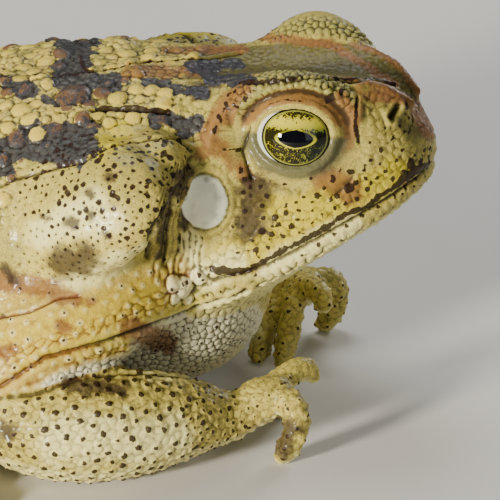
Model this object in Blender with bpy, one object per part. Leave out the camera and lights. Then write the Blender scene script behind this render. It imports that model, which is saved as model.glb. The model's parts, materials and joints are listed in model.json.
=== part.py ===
"""A life-size cane toad, Rhinella marina, sitting on a flat floor with its head raised.

The animal faces +X, its left side is +Y, and the floor is Z = 0. Sizes are in millimetres until MM turns them
into metres. A place on the body is written as at(behind, side, high): how far it lies behind the tip of the
snout, how far out to the left of the midline, and how high above the floor.
"""

import math
import random

import bmesh
import bpy
import numpy as np
from mathutils import Euler, Matrix, Vector
from mathutils.bvhtree import BVHTree

for old in list(bpy.data.objects):
    bpy.data.objects.remove(old)

MM = 0.001
SNOUT_X = 61.0      # the snout's tip ahead of the middle of the whole animal
GAP = 0.3           # clear space between two pieces that touch
CUT = 0.42          # room left round a piece that another is cut back from, of which thinning takes a part
RIGHT, LEFT = -1, 1
SIDES = {"right": RIGHT, "left": LEFT}

# The head, from the snout back to the nape. Each row is one cross-section: how far behind the snout it is,
# the height of its middle, then the bony crest, the cheek, the lip and the jaw's lower edge as (out, high),
# and last the height of the throat.
HEAD_SECTIONS = (
    (0.2, 61.0, (1.6, 60.6), (3.8, 58.4), (4.2, 55.4), (3.2, 52.8), 52.0),
    (2.4, 63.6, (3.2, 63.2), (7.8, 59.4), (8.8, 53.9), (7.4, 50.8), 49.8),
    (5.0, 66.2, (4.6, 66.7), (10.4, 61.4), (12.3, 52.3), (10.4, 48.8), 47.4),
    (9.0, 69.4, (6.6, 70.4), (13.0, 62.6), (15.9, 50.2), (13.7, 46.4), 44.2),
    (14.0, 71.0, (8.6, 72.6), (15.6, 62.0), (19.1, 47.6), (16.7, 43.6), 40.5),
    (20.0, 71.0, (10.0, 73.2), (17.6, 61.0), (21.8, 44.4), (19.1, 40.0), 36.0),
    (27.0, 70.6, (11.0, 73.2), (18.8, 60.0), (23.6, 40.4), (20.6, 35.8), 30.0),
    (34.0, 70.4, (11.8, 72.8), (20.4, 58.0), (24.7, 37.4), (21.5, 31.6), 24.0),
    (41.0, 70.6, (13.0, 71.2), (21.8, 56.0), (25.2, 37.0), (22.0, 28.0), 18.0),
    (50.0, 71.0, (14.5, 69.4), (23.0, 54.0), (25.0, 36.0), (20.0, 24.0), 16.0),
)
# The trunk, from the nape to the vent: the height of the back's middle, then the back's shoulder, the upper
# flank, the lower flank and the belly's edge as (out, high), and last the height of the belly. Below zero it
# presses flat on the floor.
TRUNK_SECTIONS = (
    (47.0, 70.8, (14.0, 69.2), (23.5, 56.0), (26.0, 38.0), (18.0, 14.0), 8.0),
    (54.0, 70.8, (17.0, 68.4), (28.5, 54.5), (30.0, 34.0), (20.0, 9.5), 4.0),
    (62.0, 70.2, (19.5, 67.2), (33.0, 52.0), (34.0, 30.0), (23.0, 6.0), 1.6),
    (71.0, 69.6, (21.0, 66.2), (36.5, 50.0), (38.0, 27.0), (25.0, 4.4), 0.2),
    (81.0, 68.6, (21.5, 65.0), (38.5, 47.5), (41.0, 24.0), (28.0, 3.0), -0.6),
    (91.0, 66.6, (21.0, 62.8), (37.5, 45.5), (41.5, 22.0), (29.0, 2.2), -0.7),
    (100.0, 61.5, (18.5, 57.4), (32.5, 41.0), (37.0, 20.0), (26.0, 2.0), -0.5),
    (108.0, 52.5, (14.5, 47.5), (25.0, 34.0), (29.0, 18.0), (21.0, 2.8), 0.4),
    (114.0, 41.0, (10.0, 37.0), (16.5, 27.0), (19.5, 17.0), (14.0, 6.0), 4.0),
    (118.0, 28.0, (5.0, 26.0), (8.0, 21.0), (9.0, 16.0), (7.0, 11.0), 9.0),
)
HEAD_END, TRUNK_END = 0.6, 1.5      # how far a rounded end stands out beyond its last section
CHEST = (52.5, 0.0, 26.0)
CHEST_RADII = (19.5, 25.0, 22.0)
SHOULDER = (60.0, 24.0, 34.0)
SHOULDER_RADII = (14.0, 12.0, 15.0)
HIP = (104.0, 16.0, 26.0)
HIP_RADII = (13.0, 14.0, 15.0)

EYE = (25.4, 13.4, 63.8)
EYE_RADIUS = 8.6
EYE_OPENING = (7.3, 6.0)        # half the width and half the height of the gap between the lids
EYE_TURN = (12.0, 14.0)         # degrees that an eye looks forward of straight out, and upward
OPENING_FLARE = ((0.35, 0.86), (0.8, 0.97), (1.0, 1.05), (1.35, 1.3), (1.8, 1.6))   # (eye radii out, width)
OPENING_SIDES = 28
LID_THICK = 1.5
LID_BASE = 0.32                 # where the lids start, in eye radii out from the eye's middle
BROW = (25.6, 14.4, 66.6)
BROW_RADII = {RIGHT: (12.6, 8.9, 10.2), LEFT: (12.6, 8.9, 12.2)}    # the right eye is drawn in a little
BROW_LEAN = (-14, 0, 0)

EARDRUM = (41.3, 23.4, 52.3)
EARDRUM_RADII = (4.7, 1.5, 5.9)
EARDRUM_RIM_RADII = (6.2, 1.9, 7.4)
EARDRUM_TURN = (6, 0, -8)
EARDRUM_PROUD = 0.9             # how far the drum stands out of the middle of its rim
NOSTRIL = (7.4, 5.4, 66.2)
NOSTRIL_RIM_RADII = (2.6, 2.0, 2.0)
NOSTRIL_RADII = (1.0, 1.6, 0.6)
NOSTRIL_TURN = (40, 0, 30)
NOSTRIL_PIT = (-0.3, 1.7, 1.2)  # from the rim's middle to the pit's

# Bony crests of the head, as (behind, out, high), from the nostril over the eye and down behind it.
CREST_RADIUS = 1.35
BROW_CREST = ((4.0, 3.2, 67.6), (9.0, 6.4, 71.7), (15.0, 8.7, 73.3), (23.0, 10.3, 73.7), (31.0, 11.4, 73.7),
              (35.5, 12.6, 72.9))
EAR_CREST = ((35.5, 12.6, 72.9), (39.2, 16.2, 69.4), (40.8, 19.0, 65.6), (41.3, 20.8, 61.6))
CHEEK_CREST = ((41.3, 20.8, 61.6), (37.2, 21.6, 59.4), (33.4, 21.6, 55.8))
NAPE_CREST = ((41.3, 20.8, 61.6), (44.2, 21.8, 60.8), (47.0, 22.4, 60.2))
NOSE_CREST = ((13.6, 9.2, 72.6), (13.2, 13.6, 68.0), (13.8, 16.6, 63.2), (15.6, 18.6, 60.4))
CRESTS = (BROW_CREST, EAR_CREST, CHEEK_CREST, NAPE_CREST, NOSE_CREST)

# The line of the mouth seen from the side, as (behind, high): along the lips, then down behind the corner of
# the jaw. The room below it reaches out on both sides and down past the floor.
MOUTH_LINE = ((-3.0, 56.0), (3.0, 53.4), (10.0, 49.9), (17.0, 46.2), (23.0, 42.7), (28.5, 39.6), (33.0, 37.6),
              (37.5, 36.7), (40.6, 34.8), (41.8, 31.0), (42.0, 24.0), (42.0, 4.0))
MOUTH_ROOM = 60.0
MOUTH_ROOM_LOW = -20.0

# The gland behind each eardrum: its long body, sloping down and out to the rear, and its raised front end.
PAROTOID = (67.4, 30.0, 50.2)
PAROTOID_RADII = (24.5, 9.5, 14.6)
PAROTOID_TURN = (34.0, -20.0, 24.0)     # degrees about X, Y and Z on the left side
GLAND_FRONT = (54.4, 25.0, 56.4)
GLAND_FRONT_RADII = (11.6, 7.0, 9.0)
GLAND_FRONT_TURN = (30.0, -34.0, 20.0)

# Legs of the left side, each a chain of (behind, out, high, radius).
UPPER_ARM = ((55.0, 24.0, 34.0, 10.5), (63.0, 33.5, 30.5, 11.5), (71.0, 40.5, 25.5, 10.5),
             (77.5, 45.0, 19.0, 8.6), (80.0, 46.5, 14.5, 6.5))
FOREARM = ((80.5, 46.5, 13.0, 7.0), (74.0, 46.8, 11.2, 9.4), (64.0, 45.4, 10.6, 10.9),
           (54.0, 41.6, 10.5, 10.7), (44.5, 36.6, 10.2, 8.6), (37.8, 32.4, 9.0, 5.8), (33.6, 30.2, 8.4, 4.4))
PALM = ((33.0, 29.8, 8.4, 4.2), (29.6, 27.8, 11.2, 4.6), (26.4, 26.2, 12.4, 3.4))
FINGERS = (
    ((31.0, 25.0, 10.0, 2.3), (33.0, 19.6, 7.6, 2.1), (34.2, 15.4, 3.2, 2.1), (34.6, 13.6, 1.3, 1.9)),
    ((28.4, 24.4, 12.2, 2.4), (28.0, 18.2, 10.6, 2.2), (28.4, 13.2, 5.2, 2.1), (28.8, 11.2, 1.4, 1.9)),
    ((27.6, 24.0, 12.8, 2.5), (24.8, 20.6, 14.6, 2.3), (22.4, 18.0, 14.8, 2.1), (21.2, 16.8, 12.8, 1.9)),
    ((26.4, 27.6, 12.6, 2.7), (22.6, 29.8, 12.4, 2.5), (21.2, 31.0, 8.8, 2.4), (22.0, 31.6, 5.0, 2.3),
     (23.8, 31.4, 1.8, 2.1)),
)
LEFT_ARM_BACK = 4.0             # the left elbow and hand stand this much further back than the right ones
ARM_SWING = (55.0, 25.0)        # the upper arm gives way to that from here on, over this length
THIGH = ((107.0, 14.0, 25.0, 11.0), (103.0, 27.0, 25.0, 13.0), (98.0, 39.5, 23.0, 12.0),
         (94.0, 48.0, 19.5, 8.8))
SHANK = ((92.6, 50.0, 15.5, 7.4), (97.0, 47.6, 12.6, 8.6), (105.0, 42.0, 10.8, 7.8), (113.5, 35.4, 8.6, 5.6),
         (119.0, 30.8, 6.6, 4.6))
TARSUS = ((119.4, 30.4, 5.4, 4.4), (111.5, 38.0, 4.2, 3.9), (104.0, 45.0, 3.8, 4.2))
TOE_ROOT = (101.0, 47.5, 3.2)
TOE_ROOT_RADII = (5.0, 4.4, 3.2)
TOE_ANGLES = (-8.0, 10.0, 23.0, 35.0, 55.0)      # degrees outward from straight ahead, first toe to fifth
TOE_LENGTHS = (12.0, 17.0, 24.0, 30.0, 20.0)
TOE_SHAPE = ((0.0, 3.0, 2.5), (0.5, 2.6, 2.15), (1.0, 1.6, 1.9))    # (share of the length, high, radius)
WEB_REACH = 0.6                 # how far along the toes the web runs
WEB_NOTCH = 0.16                # how far its free edge dips back towards the root between two toes
WEB_THICK = 1.6
WEB_HIGH = (1.8, 1.3)           # half way along the web and at its free edge
WEB_LOWEST = 1.2

WART_SEED = 7
WART_COUNT = 52
WART_TRIES = 4000
WART_RADII = (1.8, 3.1)
WART_FLAT = 0.62                # the height of a wart's dome over its radius
WART_REACH = (53, 112)          # behind the snout
WART_OUT = 38
WART_LOWEST = 26                # above the floor
WART_SLOPE = 0.35               # the least upward share of the skin's normal under a wart
WART_SPACING = 1.15

# For each node that is thinned, about how many triangles it keeps.
TRIANGLES = {"head": 3000, "lower_jaw": 640, "eyelid": 320, "parotoid": 400, "torso": 2800, "forearm": 420,
             "upper_arm": 340, "hand": 640, "thigh": 340, "shank": 340, "foot": 800}
TORSO_FUSED = (4000, 3000)      # the torso before and after the warts are fused on

SKIN_TONES = {
    "back": ("8A7B3F", 0.55),
    "side": ("C9B878", 0.5),
    "belly": ("D8CDA4", 0.55),
    "gland": ("CDB96A", 0.45),
    "drum": ("A9A58C", 0.5),
    "lid": ("8C8A5A", 0.5),
    "eye": ("17150F", 0.08),
}


def at(behind, side, high):
    """The place in metres of a point given from the tip of the snout."""
    return Vector(((SNOUT_X - behind) * MM, side * MM, high * MM))


def toned(obj, tone):
    """Gives obj the material of that part of the skin."""
    material = bpy.data.materials.get(tone) or bpy.data.materials.new(tone)
    code, roughness = SKIN_TONES[tone]
    material.use_nodes = True
    shader = material.node_tree.nodes["Principled BSDF"]
    levels = [int(code[i : i + 2], 16) / 255 for i in (0, 2, 4)]
    shader.inputs["Base Color"].default_value = [x**2.2 for x in levels] + [1.0]
    shader.inputs["Roughness"].default_value = roughness
    shader.inputs["Metallic"].default_value = 0.0
    obj.data.materials.clear()
    obj.data.materials.append(material)
    return obj


def linked(name, mesh):
    obj = bpy.data.objects.new(name, mesh)
    bpy.context.scene.collection.objects.link(obj)
    return obj


def applied(obj):
    """Applies every modifier of obj."""
    graph = bpy.context.evaluated_depsgraph_get()
    mesh = bpy.data.meshes.new_from_object(obj.evaluated_get(graph))
    obj.modifiers.clear()
    obj.data = mesh
    return obj


def through(points, steps, closed):
    """A smooth curve through points, with steps samples from each to the next."""
    p = np.array(points, float)
    ring = [p[-1], *p, p[0], p[1]] if closed else [p[0], *p, p[-1]]
    found = []
    for a, b, c, d in zip(ring, ring[1:], ring[2:], ring[3:]):
        for t in np.linspace(0, 1, steps, endpoint=False):
            even = 2 * b + (c - a) * t
            found.append(0.5 * (even + (2 * a - 5 * b + 4 * c - d) * t**2 + (3 * b - a - 3 * c + d) * t**3))
    if not closed:
        found.append(p[-1])
    return np.array(found)


def shell(name, rings, first, last):
    """A closed mesh over rings of points, from the point first to the point last."""
    work = bmesh.new()
    loops = [[work.verts.new(p) for p in ring] for ring in rings]
    ends = work.verts.new(first), work.verts.new(last)
    size = len(loops[0])
    for a, b in zip(loops, loops[1:]):
        for i in range(size):
            j = (i + 1) % size
            work.faces.new((a[i], a[j], b[j], b[i]))
    for i in range(size):
        j = (i + 1) % size
        work.faces.new((loops[0][j], loops[0][i], ends[0]))
        work.faces.new((loops[-1][i], loops[-1][j], ends[1]))
    bmesh.ops.recalc_face_normals(work, faces=work.faces)
    mesh = bpy.data.meshes.new(name)
    work.to_mesh(mesh)
    work.free()
    return linked(name, mesh)


def lofted(name, sections, end_step):
    """The solid through cross-sections that are alike on both sides, its ends closed end_step beyond them."""
    rings = []
    for behind, top, *corners, bottom in sections:
        half = [(0.0, top), *corners, (0.0, bottom)]
        outline = half + [(-y, z) for y, z in reversed(corners)]
        rings.append([at(behind, y, z) for y, z in through(outline, 4, True)])
    middles = [sum(ring, Vector()) / len(ring) for ring in rings]
    ahead = Vector((end_step * MM, 0, 0))
    return shell(name, rings, middles[0] + ahead, middles[-1] - ahead)


def rounded_end(middle, way, radius):
    """The places and radii of three rings that round off the end of a tube."""
    return [(middle + way * radius * math.sin(a), radius * math.cos(a)) for a in (0.4, 0.8, 1.2)]


def tube(name, chain, side=LEFT, back=0.0, sides=14):
    """A limb along a chain of (behind, out, high, radius), with rounded ends."""
    samples = through([(b + back, side * y, z, r) for b, y, z, r in chain], 5, False)
    middles = [at(*s[:3]) for s in samples]
    radii = [s[3] * MM for s in samples]
    final = len(middles) - 1
    ways = [(middles[min(i + 1, final)] - middles[max(i - 1, 0)]).normalized() for i in range(final + 1)]
    start = rounded_end(middles[0], -ways[0], radii[0])[::-1]
    end = rounded_end(middles[-1], ways[-1], radii[-1])
    places = [(m, r, ways[0]) for m, r in start]
    places += zip(middles, radii, ways)
    places += [(m, r, ways[-1]) for m, r in end]
    up = Vector((0, 0, 1)) if abs(ways[0].z) < 0.8 else Vector((1, 0, 0))
    rings = []
    for middle, radius, way in places:
        across = way.cross(up).normalized()
        up = across.cross(way).normalized()
        corners = [2 * math.pi * i / sides for i in range(sides)]
        rings.append([middle + (across * math.cos(a) + up * math.sin(a)) * radius for a in corners])
    return shell(name, rings, middles[0] - ways[0] * radii[0], middles[-1] + ways[-1] * radii[-1])


def ball(name, place, radii, turn=(0, 0, 0), rings=18):
    """An ellipsoid. turn is in degrees about X, Y and Z."""
    work = bmesh.new()
    bmesh.ops.create_uvsphere(work, u_segments=rings * 2, v_segments=rings, radius=1.0)
    size = Matrix.Diagonal((*[r * MM for r in radii], 1.0))
    angle = Euler([math.radians(a) for a in turn]).to_matrix().to_4x4()
    work.transform(Matrix.Translation(place) @ angle @ size)
    mesh = bpy.data.meshes.new(name)
    work.to_mesh(mesh)
    work.free()
    return linked(name, mesh)


def arm_back(side):
    return LEFT_ARM_BACK if side == LEFT else 0.0


def sided(point, side):
    return at(point[0], point[1] * side, point[2])


def turned(turn, side):
    """A turn of the left side, as it is on that side."""
    return (turn[0] * side, turn[1], turn[2] * side)


def melted(name, pieces, voxel, rounds, triangles):
    """Pieces fused into one skin, smoothed over some rounds, and thinned to about that many triangles."""
    work = bmesh.new()
    for piece in pieces:
        work.from_mesh(piece.data)
        bpy.data.objects.remove(piece)
    mesh = bpy.data.meshes.new(name)
    work.to_mesh(mesh)
    work.free()
    obj = linked(name, mesh)
    fuse = obj.modifiers.new("fuse", "REMESH")
    fuse.mode = "VOXEL"
    fuse.voxel_size = voxel * MM
    even = obj.modifiers.new("even", "SMOOTH")
    even.factor = 0.5
    even.iterations = rounds
    applied(obj)
    return thinned(kept_whole(obj), triangles)


def closed(mesh):
    work = bmesh.new()
    work.from_mesh(mesh)
    whole = all(len(e.link_faces) == 2 for e in work.edges)
    work.free()
    return whole


def thinned(obj, triangles):
    """obj with about that many triangles, or with more where fewer would leave it open."""
    work = bmesh.new()
    work.from_mesh(obj.data)
    bmesh.ops.dissolve_degenerate(work, edges=work.edges, dist=0.04 * MM)
    bmesh.ops.remove_doubles(work, verts=work.verts, dist=0.08 * MM)
    bmesh.ops.triangulate(work, faces=work.faces)
    neat = obj.data.copy()
    work.to_mesh(neat)
    work.free()
    if closed(neat):
        obj.data = neat
    full, count = obj.data, triangles_in(obj)
    for slack in (1.0, 1.04, 1.1, 1.18, 1.3, 1.5):
        if count <= triangles * slack:
            break
        fewer = obj.modifiers.new("fewer", "DECIMATE")
        fewer.ratio = triangles * slack / count
        applied(obj)
        if closed(obj.data):
            break
        obj.data = full
    return obj


def kept_whole(obj):
    """Keeps the largest closed surface of obj."""
    work = bmesh.new()
    work.from_mesh(obj.data)
    left, groups = set(work.verts), []
    while left:
        group, edge = set(), [left.pop()]
        while edge:
            v = edge.pop()
            group.add(v)
            for e in v.link_edges:
                other = e.other_vert(v)
                if other in left:
                    left.discard(other)
                    edge.append(other)
        groups.append(group)
    groups.sort(key=len)
    loose = [v for group in groups[:-1] for v in group]
    bmesh.ops.delete(work, geom=loose, context="VERTS")
    work.to_mesh(obj.data)
    work.free()
    return obj


def grown(obj, by):
    """A copy of obj whose surface stands out by that many millimetres."""
    work = bmesh.new()
    work.from_mesh(obj.data)
    work.normal_update()
    places = [v.co + v.normal * by * MM * min(v.calc_shell_factor(), 2.0) for v in work.verts]
    for v, place in zip(work.verts, places):
        v.co = place
    mesh = bpy.data.meshes.new(obj.name + "_grown")
    work.to_mesh(mesh)
    work.free()
    return linked(mesh.name, mesh)


def bounds(obj):
    corners = np.array([v.co for v in obj.data.vertices])
    return corners.min(axis=0), corners.max(axis=0)


def meets(obj, other):
    (low, high), (other_low, other_high) = bounds(obj), bounds(other)
    return bool((low < other_high + MM).all() and (high > other_low - MM).all())


def cut_back(obj, others, by):
    """obj less the room that each of the others takes up when grown by that many millimetres."""
    for other in others:
        cutter = grown(other, by)
        cut = obj.modifiers.new("cut", "BOOLEAN")
        cut.operation = "DIFFERENCE"
        cut.solver = "MANIFOLD"     # a grown cutter can cross itself in a crease, which EXACT gets wrong
        cut.object = cutter
        applied(obj)
        bpy.data.objects.remove(cutter)
    return kept_whole(obj)


def fitted(obj, others, triangles):
    """obj cut back to meet the others, thinned, and cleared of what the thinning moved into the gap."""
    others = [other for other in others if meets(obj, other)]
    thinned(cut_back(obj, others, CUT), triangles)
    return cut_back(obj, others, GAP * 0.7)


def triangles_in(obj):
    obj.data.calc_loop_triangles()
    return len(obj.data.loop_triangles)


def joined(obj, pieces, operation="UNION"):
    """One Boolean of obj with a collection of closed pieces, which are then removed."""
    group = bpy.data.collections.new(obj.name + "_pieces")
    for piece in pieces:
        group.objects.link(piece)
    join = obj.modifiers.new("join", "BOOLEAN")
    join.operation = operation
    join.operand_type = "COLLECTION"
    join.solver = "MANIFOLD"
    join.collection = group
    bpy.context.scene.collection.children.link(group)
    applied(obj)
    for piece in pieces:
        bpy.data.objects.remove(piece)
    bpy.data.collections.remove(group)
    return kept_whole(obj)


def set_on_floor(obj):
    """Cuts off what presses below the floor, which leaves a small flat there."""
    work = bmesh.new()
    work.from_mesh(obj.data)
    if min(v.co.z for v in work.verts) < 0:
        everything = [*work.verts, *work.edges, *work.faces]
        down = (0, 0, -1)
        bmesh.ops.bisect_plane(work, geom=everything, plane_co=(0, 0, 0), plane_no=down, clear_outer=True)
        open_edges = [e for e in work.edges if e.is_boundary]
        bmesh.ops.holes_fill(work, edges=open_edges)
        bmesh.ops.triangulate(work, faces=work.faces)
        work.to_mesh(obj.data)
    work.free()
    return obj


def mouth_room(name, offset):
    """The block of space under the line of the mouth, its upper edge moved up and back by offset."""
    line = through(MOUTH_LINE, 4, False)
    slopes = np.gradient(line, axis=0)
    slopes /= np.linalg.norm(slopes, axis=1)[:, None]
    line = line + np.stack([-slopes[:, 1], slopes[:, 0]], axis=1) * offset
    low = MOUTH_ROOM_LOW
    outline = [tuple(p) for p in line] + [(line[-1][0], low), (low, low), (low, line[0][1] - low / 3)]
    work = bmesh.new()
    near = [work.verts.new(at(b, -MOUTH_ROOM, z)) for b, z in outline]
    far = [work.verts.new(at(b, MOUTH_ROOM, z)) for b, z in outline]
    work.faces.new(near)
    work.faces.new(far[::-1])
    for i in range(len(outline)):
        j = (i + 1) % len(outline)
        work.faces.new((near[i], near[j], far[j], far[i]))
    bmesh.ops.recalc_face_normals(work, faces=work.faces)
    mesh = bpy.data.meshes.new(name)
    work.to_mesh(mesh)
    work.free()
    return linked(name, mesh)


def eye_frame(side):
    """The turn that takes +Z to the way this eye looks, with +X staying along the head."""
    ahead, up = (math.radians(a) for a in EYE_TURN)
    way = Vector((math.sin(ahead) * math.cos(up), side * math.cos(ahead) * math.cos(up), math.sin(up)))
    along = (Vector((1, 0, 0)) - way * way.x).normalized()
    return Matrix((along, way.cross(along), way)).transposed()


def eyeball(name, side):
    return ball(name, sided(EYE, side), (EYE_RADIUS,) * 3, rings=10)


def opening(name, side, wider):
    """A plug through the lids, shaped like the gap between them and flared outward."""
    turn, middle = eye_frame(side), sided(EYE, side)
    rings = []
    for out, grow in OPENING_FLARE:
        ring = []
        for i in range(OPENING_SIDES):
            a = 2 * math.pi * i / OPENING_SIDES
            x = (EYE_OPENING[0] + wider) * grow * math.cos(a)
            y = (EYE_OPENING[1] + wider) * grow * math.sin(a)
            ring.append(middle + turn @ Vector((x, y, out * EYE_RADIUS)) * MM)
        rings.append(ring)
    ends = OPENING_FLARE[0][0], OPENING_FLARE[-1][0]
    low, high = (middle + turn @ Vector((0, 0, end * EYE_RADIUS)) * MM for end in ends)
    return shell(name, rings, low, high)


def eyelid(name, side):
    """The lids of one eye before the eye is cut out of them: a cap over the outer side of a ball."""
    lid = ball(name, sided(EYE, side), (EYE_RADIUS + GAP + LID_THICK,) * 3, rings=11)
    way = eye_frame(side) @ Vector((0, 0, 1))
    work = bmesh.new()
    work.from_mesh(lid.data)
    everything = [*work.verts, *work.edges, *work.faces]
    base = sided(EYE, side) + way * LID_BASE * EYE_RADIUS * MM
    bmesh.ops.bisect_plane(work, geom=everything, plane_co=base, plane_no=-way, clear_outer=True)
    bmesh.ops.holes_fill(work, edges=[e for e in work.edges if e.is_boundary])
    bmesh.ops.triangulate(work, faces=work.faces)
    work.to_mesh(lid.data)
    work.free()
    return lid


def head_skin():
    """Both jaws in one skin, with the brows, the crests and the rims of the nostrils and eardrums."""
    pieces = [lofted("skull", HEAD_SECTIONS, HEAD_END)]
    for side in SIDES.values():
        pieces.append(ball("brow", sided(BROW, side), BROW_RADII[side], turned(BROW_LEAN, side)))
        pieces.append(ball("nostril_rim", sided(NOSTRIL, side), NOSTRIL_RIM_RADII))
        pieces.append(ball("drum_rim", sided(EARDRUM, side), EARDRUM_RIM_RADII, turned(EARDRUM_TURN, side)))
        for crest in CRESTS:
            pieces.append(tube("crest", [(*p, CREST_RADIUS) for p in crest], side, sides=8))
    return melted("head", pieces, 0.9, 3, TRIANGLES["head"])


def nostril(side):
    behind, out, high = (a + b for a, b in zip(NOSTRIL, NOSTRIL_PIT))
    return ball("pit", sided((behind, out, high), side), NOSTRIL_RADII, turned(NOSTRIL_TURN, side), rings=7)


def eardrum(name, side):
    behind, out, high = EARDRUM
    place = sided((behind, out + EARDRUM_PROUD, high), side)
    return ball(name, place, EARDRUM_RADII, turned(EARDRUM_TURN, side), rings=7)


def parotoid(name, side):
    """The gland behind the eardrum."""
    body = ball("body", sided(PAROTOID, side), PAROTOID_RADII, turned(PAROTOID_TURN, side))
    front = ball("front", sided(GLAND_FRONT, side), GLAND_FRONT_RADII, turned(GLAND_FRONT_TURN, side))
    return melted(name, [body, front], 1.0, 14, TRIANGLES["parotoid"])


def trunk():
    """The trunk, with domed warts over the back."""
    pieces = [lofted("trunk", TRUNK_SECTIONS, TRUNK_END), ball("chest", at(*CHEST), CHEST_RADII)]
    for side in SIDES.values():
        pieces.append(ball("shoulder", sided(SHOULDER, side), SHOULDER_RADII))
        pieces.append(ball("hip", sided(HIP, side), HIP_RADII))
    body = melted("torso", pieces, 1.6, 4, TORSO_FUSED[0])
    return melted("torso", [body, *warts(body)], 1.15, 1, TORSO_FUSED[1])


def warts(body):
    chance = random.Random(WART_SEED)
    tree = BVHTree.FromObject(body, bpy.context.evaluated_depsgraph_get())
    placed, tries = [], 0
    while len(placed) < WART_COUNT and tries < WART_TRIES:
        tries += 1
        start = at(chance.uniform(*WART_REACH), chance.uniform(-WART_OUT, WART_OUT), 100)
        hit, normal, _, _ = tree.ray_cast(start, Vector((0, 0, -1)))
        if hit is None or normal.z < WART_SLOPE or hit.z < WART_LOWEST * MM:
            continue
        radius = chance.uniform(*WART_RADII)
        if any((hit - other).length < (radius + r) * WART_SPACING * MM for other, r in placed):
            continue
        placed.append((hit, radius))
    domes = []
    for middle, radius in placed:
        turn = (0, 0, chance.uniform(0, 90))
        domes.append(ball("wart", middle, (radius, radius, radius * WART_FLAT), turn, rings=6))
    return domes


def hand(name, side):
    """The hand with its four free fingers, the outer two reaching forward."""
    back = arm_back(side)
    pieces = [tube("palm", PALM, side, back)]
    pieces += [tube("finger", chain, side, back, sides=10) for chain in FINGERS]
    return melted(name, pieces, 0.75, 2, TRIANGLES["hand"])


def along_toe(angle, reach, high):
    """A place that far along a toe, as (behind, out, high)."""
    ahead, out = math.cos(math.radians(angle)), math.sin(math.radians(angle))
    return TOE_ROOT[0] - ahead * reach, TOE_ROOT[1] + out * reach, high


def web(middles, tips, side):
    """The skin between two neighbouring toes, with a notch in its free edge."""
    share = (1 - WEB_NOTCH) / 2
    notch = [share * (a + b) + WEB_NOTCH * c for a, b, c in zip(*tips, TOE_ROOT)]
    outline = [TOE_ROOT, middles[0], tips[0], notch, tips[1], middles[1]]
    count = len(outline)
    work = bmesh.new()
    for rise in (-WEB_THICK / 2, WEB_THICK / 2):
        corners = [sided((b, y, max(WEB_LOWEST, z) + rise), side) for b, y, z in outline]
        work.faces.new([work.verts.new(corner) for corner in corners])
    work.verts.ensure_lookup_table()
    for k in range(count):
        following = (k + 1) % count
        work.faces.new([work.verts[j] for j in (k, following, count + following, count + k)])
    bmesh.ops.recalc_face_normals(work, faces=work.faces)
    mesh = bpy.data.meshes.new("web")
    work.to_mesh(mesh)
    work.free()
    return linked("web", mesh)


def foot(name, side):
    """The hind foot, flat on the floor, with five toes and the web between them."""
    pieces = [tube("tarsus", TARSUS, side), ball("root", sided(TOE_ROOT, side), TOE_ROOT_RADII)]
    tips, middles = [], []
    for angle, length in zip(TOE_ANGLES, TOE_LENGTHS):
        chain = [(*along_toe(angle, length * share, high), radius) for share, high, radius in TOE_SHAPE]
        pieces.append(tube("toe", chain, side, sides=10))
        middles.append(along_toe(angle, length * WEB_REACH / 2, WEB_HIGH[0]))
        tips.append(along_toe(angle, length * WEB_REACH, WEB_HIGH[1]))
    for i in range(len(tips) - 1):
        pieces.append(web(middles[i : i + 2], tips[i : i + 2], side))
    return melted(name, pieces, 0.7, 2, TRIANGLES["foot"])


def limb(part, word, chain, whole):
    """One stretch of a limb, fused and cut back to meet all that was made before it."""
    skin = melted(f"{part}_{word}", [tube(part, chain, SIDES[word])], 1.3, 2, TRIANGLES[part])
    before = list(whole)
    whole.append(copied(skin))
    return toned(fitted(skin, before, TRIANGLES[part]), "side")


def moved_back(chain, back):
    return [(b + back, y, z, r) for b, y, z, r in chain]


def swung(chain, back):
    """The upper arm, whose shoulder stays while its elbow stands that much further back."""
    start, length = ARM_SWING
    return [(b + back * min(1.0, (b - start) / length), y, z, r) for b, y, z, r in chain]


def copied(obj):
    return linked(obj.name + "_whole", obj.data.copy())


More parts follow.
